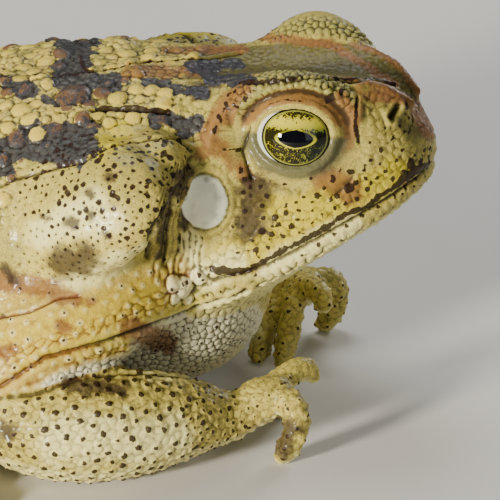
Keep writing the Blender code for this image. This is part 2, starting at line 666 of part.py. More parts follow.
def built():
    """Every named piece, each cut back by the whole shapes of those before it, so that neighbours meet."""
    pieces, whole = [], []
    skin = head_skin()
    jaw = linked("lower_jaw", skin.data.copy())
    whole.append(copied(skin))
    head = joined(skin, [mouth_room("room", GAP / 2)], "DIFFERENCE")
    jaw = joined(jaw, [mouth_room("room", -GAP / 2)], "INTERSECT")
    pieces += [toned(head, "side"), toned(thinned(jaw, TRIANGLES["lower_jaw"]), "belly")]
    for word, side in SIDES.items():
        eye, lid = eyeball("eye_" + word, side), eyelid("eyelid_" + word, side)
        drum = eardrum("eardrum_" + word, side)
        joined(head, [opening("plug", side, 1.0)], "DIFFERENCE")
        cut_back(head, [eye, lid, drum], CUT)
        cut_back(lid, [eye], GAP)
        lid = thinned(joined(lid, [opening("plug", side, 0.0)], "DIFFERENCE"), TRIANGLES["eyelid"])
        joined(head, [nostril(side)], "DIFFERENCE")
        whole.append(copied(drum))
        pieces += [toned(eye, "eye"), toned(lid, "lid"), toned(drum, "drum")]
    thinned(head, TRIANGLES["head"])
    glands = [parotoid("parotoid_" + word, side) for word, side in SIDES.items()]
    full_glands = [copied(gland) for gland in glands]
    pieces += [toned(fitted(gland, whole, TRIANGLES["parotoid"]), "gland") for gland in glands]
    whole += full_glands
    torso = trunk()
    full_torso = copied(torso)
    pieces.append(toned(fitted(torso, whole, TRIANGLES["torso"]), "back"))
    whole.append(full_torso)
    for word, side in SIDES.items():
        back, mine = arm_back(side), list(whole)
        pieces.append(limb("forearm", word, moved_back(FOREARM, back), mine))
        pieces.append(limb("upper_arm", word, swung(UPPER_ARM, back), mine))
        pieces.append(toned(fitted(hand("hand_" + word, side), mine, TRIANGLES["hand"]), "side"))
        pieces.append(limb("thigh", word, THIGH, mine))
        pieces.append(limb("shank", word, SHANK, mine))
        pieces.append(toned(fitted(foot("foot_" + word, side), mine, TRIANGLES["foot"]), "side"))
        for old in mine[len(whole):]:
            bpy.data.objects.remove(old)
    for old in whole:
        bpy.data.objects.remove(old)
    return pieces


def settle(pieces):
    """Sets every piece on the floor, and the whole with the middle of its base at the origin."""
    for obj in pieces:
        set_on_floor(obj)
    corners = np.array([v.co for obj in pieces for v in obj.data.vertices])
    low, high = corners.min(axis=0), corners.max(axis=0)
    shift = Vector((-(low[0] + high[0]) / 2, -(low[1] + high[1]) / 2, 0))
    for obj in pieces:
        obj.data.transform(Matrix.Translation(shift))
        obj.data.update()
    print("size mm", np.round((high - low) / MM, 1), "shift mm", [round(c / MM, 2) for c in shift])


settle(built())
for left_over in [o for o in bpy.data.objects if o.name not in bpy.context.scene.objects]:
    bpy.data.objects.remove(left_over)
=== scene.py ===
# %% [markdown]
# # A cane toad, life size
# A cane toad is the largest of the true toads. This one sits on its belly with its head raised, as it
# does when something surprises it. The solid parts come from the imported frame. Here they get their
# looks: one unbroken skin with its folds, crests, warts and pores, a pair of moist gold eyes, a pale
# floor and soft light.

# %% The frame
import json
import math

import bpy
import numpy as np
from mathutils import Matrix, Vector
from mathutils.bvhtree import BVHTree
from mathutils.kdtree import KDTree

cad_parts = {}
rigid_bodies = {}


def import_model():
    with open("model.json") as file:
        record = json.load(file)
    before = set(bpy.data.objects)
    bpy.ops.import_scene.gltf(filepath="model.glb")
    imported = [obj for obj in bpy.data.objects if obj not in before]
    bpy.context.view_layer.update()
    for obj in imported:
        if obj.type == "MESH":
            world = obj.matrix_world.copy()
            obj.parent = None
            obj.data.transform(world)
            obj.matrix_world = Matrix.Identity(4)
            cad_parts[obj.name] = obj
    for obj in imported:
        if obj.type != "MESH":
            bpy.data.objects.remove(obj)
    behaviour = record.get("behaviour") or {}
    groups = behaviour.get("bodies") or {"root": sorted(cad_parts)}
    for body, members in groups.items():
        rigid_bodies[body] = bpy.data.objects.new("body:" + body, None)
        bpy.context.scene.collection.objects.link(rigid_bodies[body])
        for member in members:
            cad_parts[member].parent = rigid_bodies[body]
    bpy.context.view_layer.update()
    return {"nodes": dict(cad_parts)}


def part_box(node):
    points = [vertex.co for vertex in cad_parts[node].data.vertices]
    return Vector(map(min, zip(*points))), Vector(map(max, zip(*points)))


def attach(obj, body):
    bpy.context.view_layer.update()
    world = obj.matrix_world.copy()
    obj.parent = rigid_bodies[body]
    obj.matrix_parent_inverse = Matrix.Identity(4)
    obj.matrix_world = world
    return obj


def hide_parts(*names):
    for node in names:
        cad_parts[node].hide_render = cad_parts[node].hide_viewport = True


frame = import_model()
bpy.ops.object.select_all(action="DESELECT")

# %% [markdown]
# ## Sizes and places
# A toad is easier to describe from its own snout than from the middle of the floor. So a place is given
# as how far it lies behind the snout, how far out from the midline, and how high above the floor, all in
# millimetres. The eye's centre is a known place in both, and fixes one against the other.

# %% The toad's own measures
MM = 0.001
SIDES = {"right": -1, "left": 1}
EYE_BEHIND = 25.4              # from the snout's tip back to the eye's middle
EYE_RADIUS = 8.6
EYE_TURN = (12.0, 14.0)        # degrees forward of straight out, and upward


def middle(node):
    """The middle of a node's box, in metres."""
    low, high = (Vector(corner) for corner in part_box(node))
    return (low + high) / 2


SNOUT = middle("eye_right").x + EYE_BEHIND * MM
EYE_OUT = middle("eye_left").y / MM
EYE_HIGH = middle("eye_left").z / MM
print("snout at", round(SNOUT / MM, 2), "eye out", round(EYE_OUT, 2), "high", round(EYE_HIGH, 2))


def at(behind, out, high):
    """The place in metres of a point in the toad's own measures."""
    return Vector((SNOUT - behind * MM, out * MM, high * MM))


def toad_measures(places):
    """Rows of (behind, out, high) in millimetres from rows of places in metres."""
    return np.stack([(SNOUT - places[:, 0]) / MM, places[:, 1] / MM, places[:, 2] / MM], axis=1)


# %% [markdown]
# ## The camera
# The photograph looks at the toad's right side from a little ahead and above. A long lens from nearly a
# metre away keeps its flat perspective. The snout's tip falls on a known pixel, and that settles where
# the camera points.

# %% Camera
CAMERA_AZIMUTH, CAMERA_ELEVATION = 12.0, 24.0      # degrees ahead of the right side, and above the floor
CAMERA_DISTANCE = 0.9          # metres
PIXEL = 0.0002                 # the width of one pixel at the toad, in metres
IMAGE = 500                    # pixels along each side of the picture
SNOUT_PIXEL = (433.0, 140.0)
SNOUT_HIGH = 59.0              # millimetres above the floor
SENSOR = 36.0                  # millimetres
NEAREST = 0.05                 # metres from the lens at which the camera begins to see

turn, rise = math.radians(CAMERA_AZIMUTH), math.radians(CAMERA_ELEVATION)
to_right = Vector((math.cos(turn), math.sin(turn), 0))
to_camera = Vector((math.sin(turn) * math.cos(rise), -math.cos(turn) * math.cos(rise), math.sin(rise)))
to_top = to_camera.cross(to_right)
centre = at(0, 0, SNOUT_HIGH)
centre += to_right * (IMAGE / 2 - SNOUT_PIXEL[0]) * PIXEL - to_top * (IMAGE / 2 - SNOUT_PIXEL[1]) * PIXEL
eye_point = centre + to_camera * CAMERA_DISTANCE

camera = bpy.data.objects.new("camera", bpy.data.cameras.new("camera"))
bpy.context.scene.collection.objects.link(camera)
turned_to_toad = Matrix((to_right, to_top, to_camera)).transposed().to_4x4()
camera.matrix_world = Matrix.Translation(eye_point) @ turned_to_toad
camera.data.sensor_width = SENSOR
camera.data.lens = SENSOR * CAMERA_DISTANCE / (IMAGE * PIXEL)
camera.data.clip_start = NEAREST
bpy.context.scene.camera = camera
print("lens", round(camera.data.lens), "mm")


def pixels_of(rows):
    """Where places in metres fall in the photograph."""
    gap = rows - np.array(centre)
    scale = CAMERA_DISTANCE / (CAMERA_DISTANCE - gap @ np.array(to_camera))
    across, up = gap @ np.array(to_right) * scale, gap @ np.array(to_top) * scale
    return np.stack([IMAGE / 2 + across / PIXEL, IMAGE / 2 - up / PIXEL], axis=1)


print("the right eye falls on pixel", pixels_of(np.array([middle("eye_right")]))[0].round())

# %% [markdown]
# ## Working on a mesh
# Blender's operators act on what is selected, so a few helpers select one thing, apply a modifier to it
# and hand its points to numpy. Moving a few hundred thousand points with numpy takes a moment; a Python
# loop takes minutes.

# %% Helpers for meshes
NUMBERS = 3                    # numbers in one place, as Blender hands them over in one long row


def only(*objects):
    """Selects these objects alone, and makes the first one active."""
    bpy.ops.object.select_all(action="DESELECT")
    for obj in objects:
        obj.select_set(True)
    bpy.context.view_layer.objects.active = objects[0]


def apply(obj, kind, **settings):
    """Adds a modifier with these settings and applies it."""
    made = obj.modifiers.new(kind.lower(), kind)
    for name, value in settings.items():
        setattr(made, name, value)
    only(obj)
    bpy.ops.object.modifier_apply(modifier=made.name)


def places(obj):
    """Where all points of a mesh lie, as rows in metres."""
    found = np.empty(len(obj.data.vertices) * NUMBERS, np.float32)
    obj.data.vertices.foreach_get("co", found)
    return found.reshape(-1, NUMBERS).astype(float)


def put(obj, found):
    """Moves all points of a mesh to these rows of places."""
    obj.data.vertices.foreach_set("co", found.astype(np.float32).ravel())
    obj.data.update()


def outward(obj):
    """The outward direction at each point, one unit long."""
    found = np.empty(len(obj.data.vertices) * NUMBERS, np.float32)
    obj.data.vertex_normals.foreach_get("vector", found)
    return found.reshape(-1, NUMBERS).astype(float)


def keep(obj, name, values):
    """Stores one number for each point, which the materials can read."""
    layer = obj.data.attributes.get(name) or obj.data.attributes.new(name, "FLOAT", "POINT")
    layer.data.foreach_set("value", np.asarray(values, np.float32))


def kept(obj, name):
    """The numbers that keep stored under a name."""
    found = np.empty(len(obj.data.vertices), np.float32)
    obj.data.attributes[name].data.foreach_get("value", found)
    return found.astype(float)


def tree_of(obj):
    """A search tree that finds the nearest place on a mesh, or where a ray meets it."""
    corners = [vertex.co for vertex in obj.data.vertices]
    return BVHTree.FromPolygons(corners, [polygon.vertices for polygon in obj.data.polygons])


def triangles(obj):
    obj.data.calc_loop_triangles()
    return len(obj.data.loop_triangles)


print("points of the head's solid:", len(places(frame["nodes"]["head"])))

# %% [markdown]
# ## Chance that repeats
# Skin is never regular, but this script has to give the same toad each time. So its chance is made from
# whole numbers: each corner of a grid gets a number scrambled from its own place, and the same corner
# always gets the same number. Cells with a random point in each make a pattern of grains; blended
# corners make soft clouds. The seed that each call is given picks one pattern out of many of the same
# kind.

# %% Clouds and cells
UNKNOWN = 9.0                  # a distance in cells that any real one is below
CELL_MARGIN = 0.1              # how far a cell's point keeps from the cell's walls


def smooth(x, low, high):
    """0 below low, 1 above high, and an even curve between."""
    t = np.clip((x - low) / (high - low), 0, 1)
    return t * t * (3 - 2 * t)


def scrambled(corner, seed):
    """A number from 0 to 1 for each row of three whole numbers."""
    i, j, k = (corner[..., n].astype(np.int64) for n in range(3))
    mixed = (i * 73856093) ^ (j * 19349663) ^ (k * 83492791) ^ (seed * 40503)
    mixed = ((mixed ^ (mixed >> 13)) * 1274126177) & 0xFFFFFFFF
    mixed = ((mixed ^ (mixed >> 15)) * 2246822519) & 0xFFFFFFFF
    return ((mixed ^ (mixed >> 16)) & 0xFFFFFF) / 0xFFFFFF


def clouds(points, size, seed, octaves=2):
    """Soft noise from about -1 to 1, with lumps of that size in millimetres."""
    total, weight, share = 0.0, 1.0, 0.0
    for octave in range(octaves):
        cell = points / size * 2**octave
        low = np.floor(cell)
        part = cell - low
        part = part * part * (3 - 2 * part)
        value = np.zeros(len(points))
        for corner in np.ndindex(2, 2, 2):
            reach = np.prod(np.where(np.array(corner), part, 1 - part), axis=1)
            value += reach * scrambled(low + corner, seed + octave)
        total = total + weight * (value * 2 - 1)
        share += weight
        weight *= 0.5
    return total / share


def cells(points, size, seed):
    """How far each point is from the nearest cell's middle and from the next one's, in cells."""
    cell = points / size
    low = np.floor(cell)
    first, second = np.full(len(points), UNKNOWN), np.full(len(points), UNKNOWN)
    for step in np.ndindex(3, 3, 3):
        corner = low + np.array(step) - 1
        spot = np.stack([scrambled(corner, seed + n) for n in (0, 7, 13)], axis=1)
        spot = spot * (1 - 2 * CELL_MARGIN) + CELL_MARGIN
        away = np.linalg.norm(corner + spot - cell, axis=1)
        second = np.minimum(second, np.maximum(first, away))
        first = np.minimum(first, away)
    return first, second


def from_line(points, line):
    """The distance of each point from a line through several places."""
    best = np.full(len(points), 1e9)
    for a, b in zip(line[:-1], line[1:]):
        way = b - a
        share = np.clip((points - a) @ way / max(way @ way, 1e-12), 0, 1)
        best = np.minimum(best, np.linalg.norm(points - a - share[:, None] * way, axis=1))
    return best


print("clouds at three places:", clouds(np.eye(3), 2.0, 1).round(2))

# %% [markdown]
# ## One skin over all of the body
# The frame's pieces meet face to face with a hair's gap, as a museum model's parts would. A living toad
# has one skin. The pieces are swelled until they touch and are then fused by a voxel remesh, which melts
# everything it is given into one even surface. A little smoothing rounds what the melting left in steps.

# %% Fuse the flesh
SEAM_FILL = 0.3 * MM            # how far each piece swells, which closes the gaps between them
SKIN_VOXEL = 0.7 * MM
SOCKET_FILL = 8.15 * MM        # radius of the ball behind each eye, a little less than the eye's own
MELT_ROUNDS = 4                # rounds of smoothing after the remesh
FLESH = [name for name in frame["nodes"] if not name.startswith("eye_")]


def flesh_of(name):
    """A copy of a node with a mesh of its own."""
    copy = bpy.data.objects.new("flesh_" + name, frame["nodes"][name].data.copy())
    bpy.context.scene.collection.objects.link(copy)
    return copy


copies = [flesh_of(name) for name in FLESH]
for side in SIDES:
    socket = middle("eye_" + side)
    bpy.ops.mesh.primitive_uv_sphere_add(segments=48, ring_count=24, radius=SOCKET_FILL, location=socket)
    copies.append(bpy.context.object)
only(*copies)
bpy.ops.object.transform_apply(location=True, rotation=True, scale=True)
bpy.ops.object.join()
skin = bpy.context.object
skin.name = skin.data.name = "skin"
bpy.ops.object.mode_set(mode="EDIT")
bpy.ops.mesh.select_all(action="SELECT")
bpy.ops.mesh.remove_doubles(threshold=0.01 * MM)
bpy.ops.transform.shrink_fatten(value=SEAM_FILL)
bpy.ops.object.mode_set(mode="OBJECT")
apply(skin, "REMESH", mode="VOXEL", voxel_size=SKIN_VOXEL)
apply(skin, "SMOOTH", factor=0.5, iterations=MELT_ROUNDS)
skin.data.materials.clear()
print("fused skin:", len(skin.data.vertices), "points")

# %% [markdown]
# ## Which part is which
# The fused skin no longer knows what is gland and what is arm. Each of its points is measured against
# the frame's pieces: where it lies within half a millimetre of the gland's own surface it belongs to the
# gland, and further off the gland fades away. These fades steer the folds, the warts and the colours.

# %% Fades of the parts
SEARCH = 20 * MM               # no part is looked for further off than this
ON_PART = 0.5                  # millimetres from a part's surface that still count as on it
PARTS = {
    "gland": ("parotoid_right", "parotoid_left"),
    "drum": ("eardrum_right", "eardrum_left"),
    "lid": ("eyelid_right", "eyelid_left"),
    "jaw": ("lower_jaw",),
    "skull": ("head",),
    "trunk": ("torso",),
    "shoulder": ("upper_arm_right", "upper_arm_left"),
    "forearm": ("forearm_right", "forearm_left"),
    "hand": ("hand_right", "hand_left"),
    "leg": ("thigh_right", "thigh_left", "shank_right", "shank_left"),
    "foot": ("foot_right", "foot_left"),
}


def surface_of(*names):
    """One search tree over several nodes."""
    corners, faces = [], []
    for name in names:
        mesh = frame["nodes"][name].data
        faces += [[len(corners) + v for v in polygon.vertices] for polygon in mesh.polygons]
        corners += [vertex.co.copy() for vertex in mesh.vertices]
    return BVHTree.FromPolygons(corners, faces)


for part, names in PARTS.items():
    tree = surface_of(*names)
    away = [tree.find_nearest(vertex.co, SEARCH)[3] for vertex in skin.data.vertices]
    keep(skin, "to_" + part, [SEARCH / MM if gap is None else gap / MM for gap in away])
print("measured against", len(PARTS), "parts")

# %% [markdown]
# ## Soften the joins
# Where two pieces of the frame met, the fused skin has a sharp valley. Over muscle and fat a real skin
# bridges such a valley. So each point that lies close to both pieces of a pair is drawn towards its
# neighbours, many times over. The crease between the forearm and the belly is left alone, because there
# the arm only lies against the body.

# %% Draw the joins smooth
JOINS = (
    ("gland", "trunk"), ("gland", "shoulder"), ("gland", "skull"), ("shoulder", "trunk"),
    ("shoulder", "forearm"), ("skull", "trunk"), ("jaw", "trunk"), ("skull", "jaw"), ("lid", "skull"),
    ("leg", "trunk"), ("foot", "leg"), ("hand", "forearm"), ("skull", "shoulder"),
)
JOIN_REACH = 3.5               # millimetres from a join within which the skin is drawn smooth
JOIN_ROUNDS = 45
SKULL_SHARE = 0.5              # how strongly the whole skull is smoothed with the joins


def neighbours(obj):
    """The two ends of every edge, and how many points each point's average takes in."""
    pairs = np.empty(len(obj.data.edges) * 2, np.int32)
    obj.data.edges.foreach_get("vertices", pairs)
    first, second = pairs.reshape(-1, 2).T
    return first, second, np.bincount(pairs, minlength=len(obj.data.vertices)) + 1


def averaged(values, net):
    """Each point's value averaged with its neighbours'."""
    first, second, sizes = net
    total = values + np.bincount(first, values[second], len(values))
    return (total + np.bincount(second, values[first], len(values))) / sizes


def on_part(name, fade):
    """1 on a part of the body and 0 further off it than fade, in millimetres."""
    return 1 - smooth(kept(skin, "to_" + name), ON_PART, ON_PART + fade)


soft = sum(on_part(one, JOIN_REACH) * on_part(other, JOIN_REACH) for one, other in JOINS)
soft = (soft + SKULL_SHARE * on_part("skull", 1.0)).clip(0, 1)
net = neighbours(skin)
resting = places(skin)
for _ in range(JOIN_ROUNDS):
    for axis in range(3):
        resting[:, axis] += soft * (averaged(resting[:, axis], net) - resting[:, axis])
put(skin, resting)
apply(skin, "SMOOTH", factor=0.5, iterations=6)
print("softened", int((soft > 0.1).sum()), "points along", len(JOINS), "joins")

# %% [markdown]
# ## A finer net where the toad is seen closely
# Seven tenths of a millimetre is fine enough for a heel, but not for the rim of an eyelid. What the
# camera sees is cut finer once, and the ring round each eye once more. Elsewhere the net stays coarse,
# so that the whole skin can keep under two hundred thousand triangles.

# %% Cut the net finer
EYE_RING = 11.5                # how far from an eye's middle the finest net reaches, in millimetres
FRAME_EDGE = 12                # pixels beyond the picture that still get the fine net
FAR = 99.0                     # millimetres, further than anything that is measured


def select_points(obj, mask):
    """Goes into edit mode with these points selected, and the faces between them."""
    only(obj)
    bpy.ops.object.mode_set(mode="EDIT")
    bpy.ops.mesh.select_mode(type="VERT")
    bpy.ops.mesh.select_all(action="DESELECT")
    bpy.ops.object.mode_set(mode="OBJECT")
    obj.data.vertices.foreach_set("select", mask)
    bpy.ops.object.mode_set(mode="EDIT")


def in_view(obj):
    """Which points the camera sees, within the frame and a little more."""
    tree, across = tree_of(obj), pixels_of(places(obj))
    seen = np.all((across > -FRAME_EDGE) & (across < IMAGE + FRAME_EDGE), axis=1)
    for index in np.flatnonzero(seen):
        way = obj.data.vertices[index].co - eye_point
        gap = tree.ray_cast(eye_point, way.normalized())[3]
        seen[index] = gap is not None and gap > way.length - SKIN_VOXEL
    return seen


select_points(skin, in_view(skin))
bpy.ops.mesh.select_more()
bpy.ops.mesh.subdivide()
bpy.ops.object.mode_set(mode="OBJECT")
round_eyes = np.full(len(skin.data.vertices), FAR)
for side in SIDES:
    gap = np.linalg.norm(places(skin) - np.array(middle("eye_" + side)), axis=1) / MM
    round_eyes = np.minimum(round_eyes, gap)
select_points(skin, round_eyes < EYE_RING)
bpy.ops.mesh.subdivide()
bpy.ops.object.mode_set(mode="OBJECT")
apply(skin, "SMOOTH", factor=0.5, iterations=3)
print("fine net:", len(skin.data.vertices), "points")

# %% [markdown]
# ## Eyelids
# A toad's upper lid is a thick fold that moves little; the lower one is thin skin that slides up. Both
# hug the eyeball, so each point near the eye is moved straight in or out from the eye's middle: under
# the eyeball inside the opening, and just over it along a rounded rim outside. The opening is an ellipse
# in degrees round the axis along which the eye looks, and 1 on the ring scale is its edge.

# %% Shape the lids
LID_GAP = (52.0, 41.5)         # half the width and half the height of the opening, in degrees
LID_CORNER = 61.0              # half the width toward the back corner, where a sickle of white shows
LID_EDGE = 0.16                # how wide the rounded edge is, as a share of the opening
LID_RIM = 0.95                 # how far the rim stands out from the eyeball, in millimetres
LID_BLEND = (1.22, 1.6)        # where the lid passes into the skin of the head, on the ring scale
LID_REACH = 15.0               # millimetres from the eye's middle that the lids may move
LID_OVER = 0.25                # millimetres by which even the lid's edge clears the eyeball
CORNER_STRETCH = 0.6           # how much faster the rings pass outward at the back corner
UNDER_EYE = 0.1                # millimetres that the socket lies deeper than its fill
NO_RING = 9.0                  # the ring scale's value far from either eye


def eye_axes(side):
    """Rows along the head, up and straight out, as one eye looks."""
    ahead, up = (math.radians(angle) for angle in EYE_TURN)
    level = math.cos(up)
    way = Vector((math.sin(ahead) * level, SIDES[side] * math.cos(ahead) * level, math.sin(up)))
    along = (Vector((1, 0, 0)) - way * way.x).normalized()
    return np.array([along, way.cross(along) * -SIDES[side], way])


resting = places(skin)
count = len(resting)
lid_ring, lid_up, lid_along = np.full(count, NO_RING), np.zeros(count), np.zeros(count)
eye_gap = np.full(count, FAR)
for side in SIDES:
    eye_middle = np.array(middle("eye_" + side))
    seen = (resting - eye_middle) @ eye_axes(side).T / MM
    reach = np.linalg.norm(seen, axis=1)
    eye_gap = np.minimum(eye_gap, reach)
    close = reach < LID_REACH
    across = np.maximum(np.hypot(seen[close, 0], seen[close, 1]), 1e-6)
    angle = np.degrees(np.arctan2(across, seen[close, 2]))
    half = np.where(seen[close, 0] < 0, LID_CORNER, LID_GAP[0])
    along, up = angle * seen[close, 0] / across / half, angle * seen[close, 1] / across / LID_GAP[1]
    ring = np.hypot(along, up)
    toward_corner = np.clip(-along / np.maximum(ring, 1e-6), 0, 1)
    ring = np.where(ring > 1, 1 + (ring - 1) * (1 + CORNER_STRETCH * toward_corner), ring)
    edge = 1 - np.clip((ring - 1) / LID_EDGE, 0, 1)
    rim = EYE_RADIUS + LID_OVER + LID_RIM * np.sqrt(1 - edge**2)
    away = smooth(ring, *LID_BLEND)
    wanted = np.where(ring < 1, SOCKET_FILL / MM - UNDER_EYE, rim * (1 - away) + reach[close] * away)
    resting[close] += (resting[close] - eye_middle) * (wanted / reach[close] - 1)[:, None]
    lid_ring[close], lid_up[close], lid_along[close] = ring, up, along
put(skin, resting)
upper_lid = smooth(lid_up + 0.15 * lid_along, 0.05, 0.35) * (lid_ring < NO_RING - 1)
print("points on the lids:", int((lid_ring < 1.5).sum()))

# %% [markdown]
# ## From the photograph to the skin
# Markings on a toad's side are easiest to place where the photograph shows them. A pixel becomes a ray
# from the camera, and the ray meets the skin at one place. The toad's left side gets the same mark
# mirrored across its midline, and chance makes the two sides differ a little, as they do in life.

# %% Rays through pixels
MARK_STEP = 4.0                # pixels from one cast place to the next along a drawn line
MIDLINE = 12 * MM              # a line nearer to the midline than this isn't mirrored

fused = tree_of(skin)


def under_pixel(x, y):
    """The place on the fused skin that this pixel of the photograph shows, in metres."""
    aim = centre + to_right * (x - IMAGE / 2) * PIXEL - to_top * (y - IMAGE / 2) * PIXEL
    hit = fused.ray_cast(eye_point, (aim - eye_point).normalized())[0]
    return hit or fused.find_nearest(aim)[0]


def mirrored(place):
    """The same place on the toad's other side."""
    return fused.find_nearest(Vector((place.x, -place.y, place.z)))[0]


def drawn(line):
    """A line of pixels as lines of places in millimetres, on the right side and mirrored on the left."""
    cast = []
    for (x0, y0), (x1, y1) in zip(line[:-1], line[1:]):
        steps = max(1, round(math.hypot(x1 - x0, y1 - y0) / MARK_STEP))
        cast += [under_pixel(x0 + (x1 - x0) * i / steps, y0 + (y1 - y0) * i / steps) for i in range(steps)]
    cast.append(under_pixel(*line[-1]))
    if sum(place.y for place in cast) / len(cast) > -MIDLINE:
        return [np.array(cast) / MM]
    return [np.array(side) / MM for side in (cast, [mirrored(place) for place in cast])]


def near_line(points, line, reach):
    """How far the points lie from a drawn line on either side, in millimetres and never more than reach."""
    best = np.full(len(points), float(reach))
    for side in drawn(line):
        low, high = side.min(axis=0) - reach, side.max(axis=0) + reach
        close = np.all((points > low) & (points < high), axis=1)
        best[close] = np.minimum(best[close], from_line(points[close], side))
    return best


print("the snout's pixel shows", [round(part, 4) for part in under_pixel(*SNOUT_PIXEL)])

# %% [markdown]
# ## What each place on the skin knows
# From here on numbers shape the skin: how far a point is from a crest, a lip or a fold, which piece of
# the frame it lies on, and where it falls in the photograph. They are worked out once, before anything
# moves, and the colours use them again. A point of the left side that the camera can't see takes the
# pixel of its mirror image, pushed about by clouds, so that the two sides are alike but never equal.

# %% Measures of every point
MIRROR_DRIFT = 7.0             # pixels by which the mirrored markings wander
SEEN_DRIFT = 1.5               # and those in view
DRIFT_SIZE = 2.4               # millimetres across one wander
FADE_ROUNDS = 8                # rounds of averaging at the edge of what is seen

start_places = places(skin)
spots = start_places / MM
toad = toad_measures(start_places)
both_sides = np.stack([toad[:, 0], np.abs(toad[:, 1]), toad[:, 2]], axis=1)
behind, out, high = both_sides.T
net = neighbours(skin)


def spread(values, rounds):
    """Values averaged with their neighbours' again and again."""
    for _ in range(rounds):
        values = averaged(values, net)
    return values


visible = in_view(skin)
mirror_side = (start_places[:, 1] > 0) & ~visible
photo = pixels_of(np.where(mirror_side[:, None], start_places * (1, -1, 1), start_places))
drift = np.stack([clouds(spots, DRIFT_SIZE, seed) for seed in (3, 5)], axis=1)
photo += drift * np.where(mirror_side, MIRROR_DRIFT, SEEN_DRIFT)[:, None]
near = smooth(spread(visible.astype(float), FADE_ROUNDS), 0.25, 0.8)
print("in view:", int(visible.sum()), "of", count, "points")

# %% [markdown]
# ## Strokes of a brush
# A marking is drawn as a broad stroke along a few pixels. Clouds push its edge in and out, so that it
# ends raggedly. A ridge or a groove is a smooth bump by the distance from a line, and several of them
# side by side make a lip.

# %% Strokes and ridges
NO_STROKE = -9.0               # far outside any stroke


def off_line(line):
    """How far each point is from a line of pixels, or from a single one, in pixels."""
    pairs = [np.array(pixel, float) for pixel in line]
    return from_line(photo, pairs if len(pairs) > 1 else pairs * 2)


def strokes(*lines):
    """1 in the middle of broad strokes, 0 at their edges, less outside.

    Each stroke is its half width and then its pixels."""
    best = np.full(count, NO_STROKE)
    for half, *line in lines:
        best = np.maximum(best, 1 - off_line(line) / half)
    return best


def patch(*lines, ragged=0.5, soft=0.3, size=1.6, seed=11):
    """Broad strokes with ragged edges, from 0 to 1."""
    return smooth(strokes(*lines) + ragged * clouds(spots, size, seed, 3), -soft, soft)


def ridge(away, height, half):
    """A rounded ridge by the distance from its line, or a groove where the height is below zero."""
    return height * np.exp(-((away / half) ** 2))


def relief(away, shapes):
    """Ridges side by side, each given as its place off the line, its height and its half width."""
    return sum(ridge(away - off, height, half) for off, height, half in shapes)


print("at its half width a ridge keeps", round(float(ridge(1.0, 1.0, 1.0)), 2), "of its height")

# %% [markdown]
# ## The bones of the face
# The crests are bare bone under thin skin, so they are narrow and hard-edged. Each one follows the same
# points as in the solid head. The mouth is a long slit with a rolled lip on either side, the eardrum a
# flat disc inside a raised ring, and the nostril a small pit with a swollen rim.

# %% Lines of the face
BROW_CREST = (                 # behind, out and high, as are the other crests
    (4.0, 3.2, 67.6), (9.0, 6.4, 71.7), (15.0, 8.7, 73.3), (23.0, 10.3, 73.7), (31.0, 11.4, 73.7),
    (35.5, 12.6, 72.9),
)
EAR_CREST = ((35.5, 12.6, 72.9), (39.2, 16.2, 69.4), (40.8, 19.0, 65.6), (41.3, 20.8, 61.6))
CHEEK_CREST = ((41.3, 20.8, 61.6), (37.2, 21.6, 59.4), (33.4, 21.6, 55.8))
NAPE_CREST = ((41.3, 20.8, 61.6), (44.2, 21.8, 60.8), (47.0, 22.4, 60.2))
NOSE_CREST = ((13.6, 9.2, 72.6), (13.2, 13.6, 68.0), (13.8, 16.6, 63.2), (15.6, 18.6, 60.4))
MOUTH_LINE = (                 # behind and high
    (-3.0, 56.0), (3.0, 53.4), (10.0, 49.9), (17.0, 46.2), (23.0, 42.7), (28.5, 39.6), (33.0, 37.6),
    (37.5, 36.7), (40.6, 34.8),
)
EARDRUM = (41.3, 52.3)         # behind and high
EARDRUM_RADII = (4.7, 5.9)
EARDRUM_OUT = 17               # the drum lies further out than this
NOSTRIL_SLIT = ((397, 107), (391, 117))            # pixels
NOSTRIL_REACH = 4.0


def off_crest(*crests):
    """How far each point is from the nearest of these crests, in millimetres."""
    lines = [[np.array(place) for place in crest] for crest in crests]
    return np.min([from_line(both_sides, line) for line in lines], axis=0)


crest = off_crest(BROW_CREST, EAR_CREST, CHEEK_CREST, NAPE_CREST, NOSE_CREST)
head = np.max([on_part(part, 1.0) for part in ("skull", "jaw", "drum", "lid")], axis=0)
side_view = both_sides[:, [0, 2]]
mouth = from_line(side_view, [np.array(place) for place in MOUTH_LINE])
mouth *= np.sign(high - np.interp(behind, *zip(*MOUTH_LINE)))
lips = head * smooth(-behind, -41.5, -38.5)
drum = np.linalg.norm((side_view - EARDRUM) / EARDRUM_RADII, axis=1)
drum = drum + NO_RING * (out < EARDRUM_OUT) + NO_RING * (1 - head)
drum += 0.05 * clouds(spots, 1.3, 12)
nostril = near_line(spots, NOSTRIL_SLIT, NOSTRIL_REACH)
print("points on the crests:", int(((crest < 1) & (head > 0.5)).sum()))
print("points on the drums:", int((drum < 1).sum()))

# %% Crests, mouth, eardrum and nostril
# each ridge or groove is its place off the line, its height and its half width
CREST_RELIEF = ((0.0, 0.8, 0.9),)
MOUTH_RELIEF = ((0.0, -0.75, 0.4), (1.7, 0.35, 1.2), (-1.5, 0.3, 0.9))     # slit, upper lip, lower lip
DRUM_RELIEF = ((1.14, 0.35, 0.1), (1.0, -0.2, 0.06))       # raised ring, and its inner groove
DRUM_DEPTH = 0.3
NOSTRIL_RELIEF = ((1.35, 0.6, 0.5), (0.0, -1.1, 0.5))      # swollen rim, and the pit
LOWER_LID_RELIEF = ((1.58, -0.3, 0.06), (1.35, -0.15, 0.06))               # two creases
UPPER_LID_RELIEF = ((1.22, 0.35, 0.1), (1.38, -0.4, 0.05))                 # a roll, and the crease behind

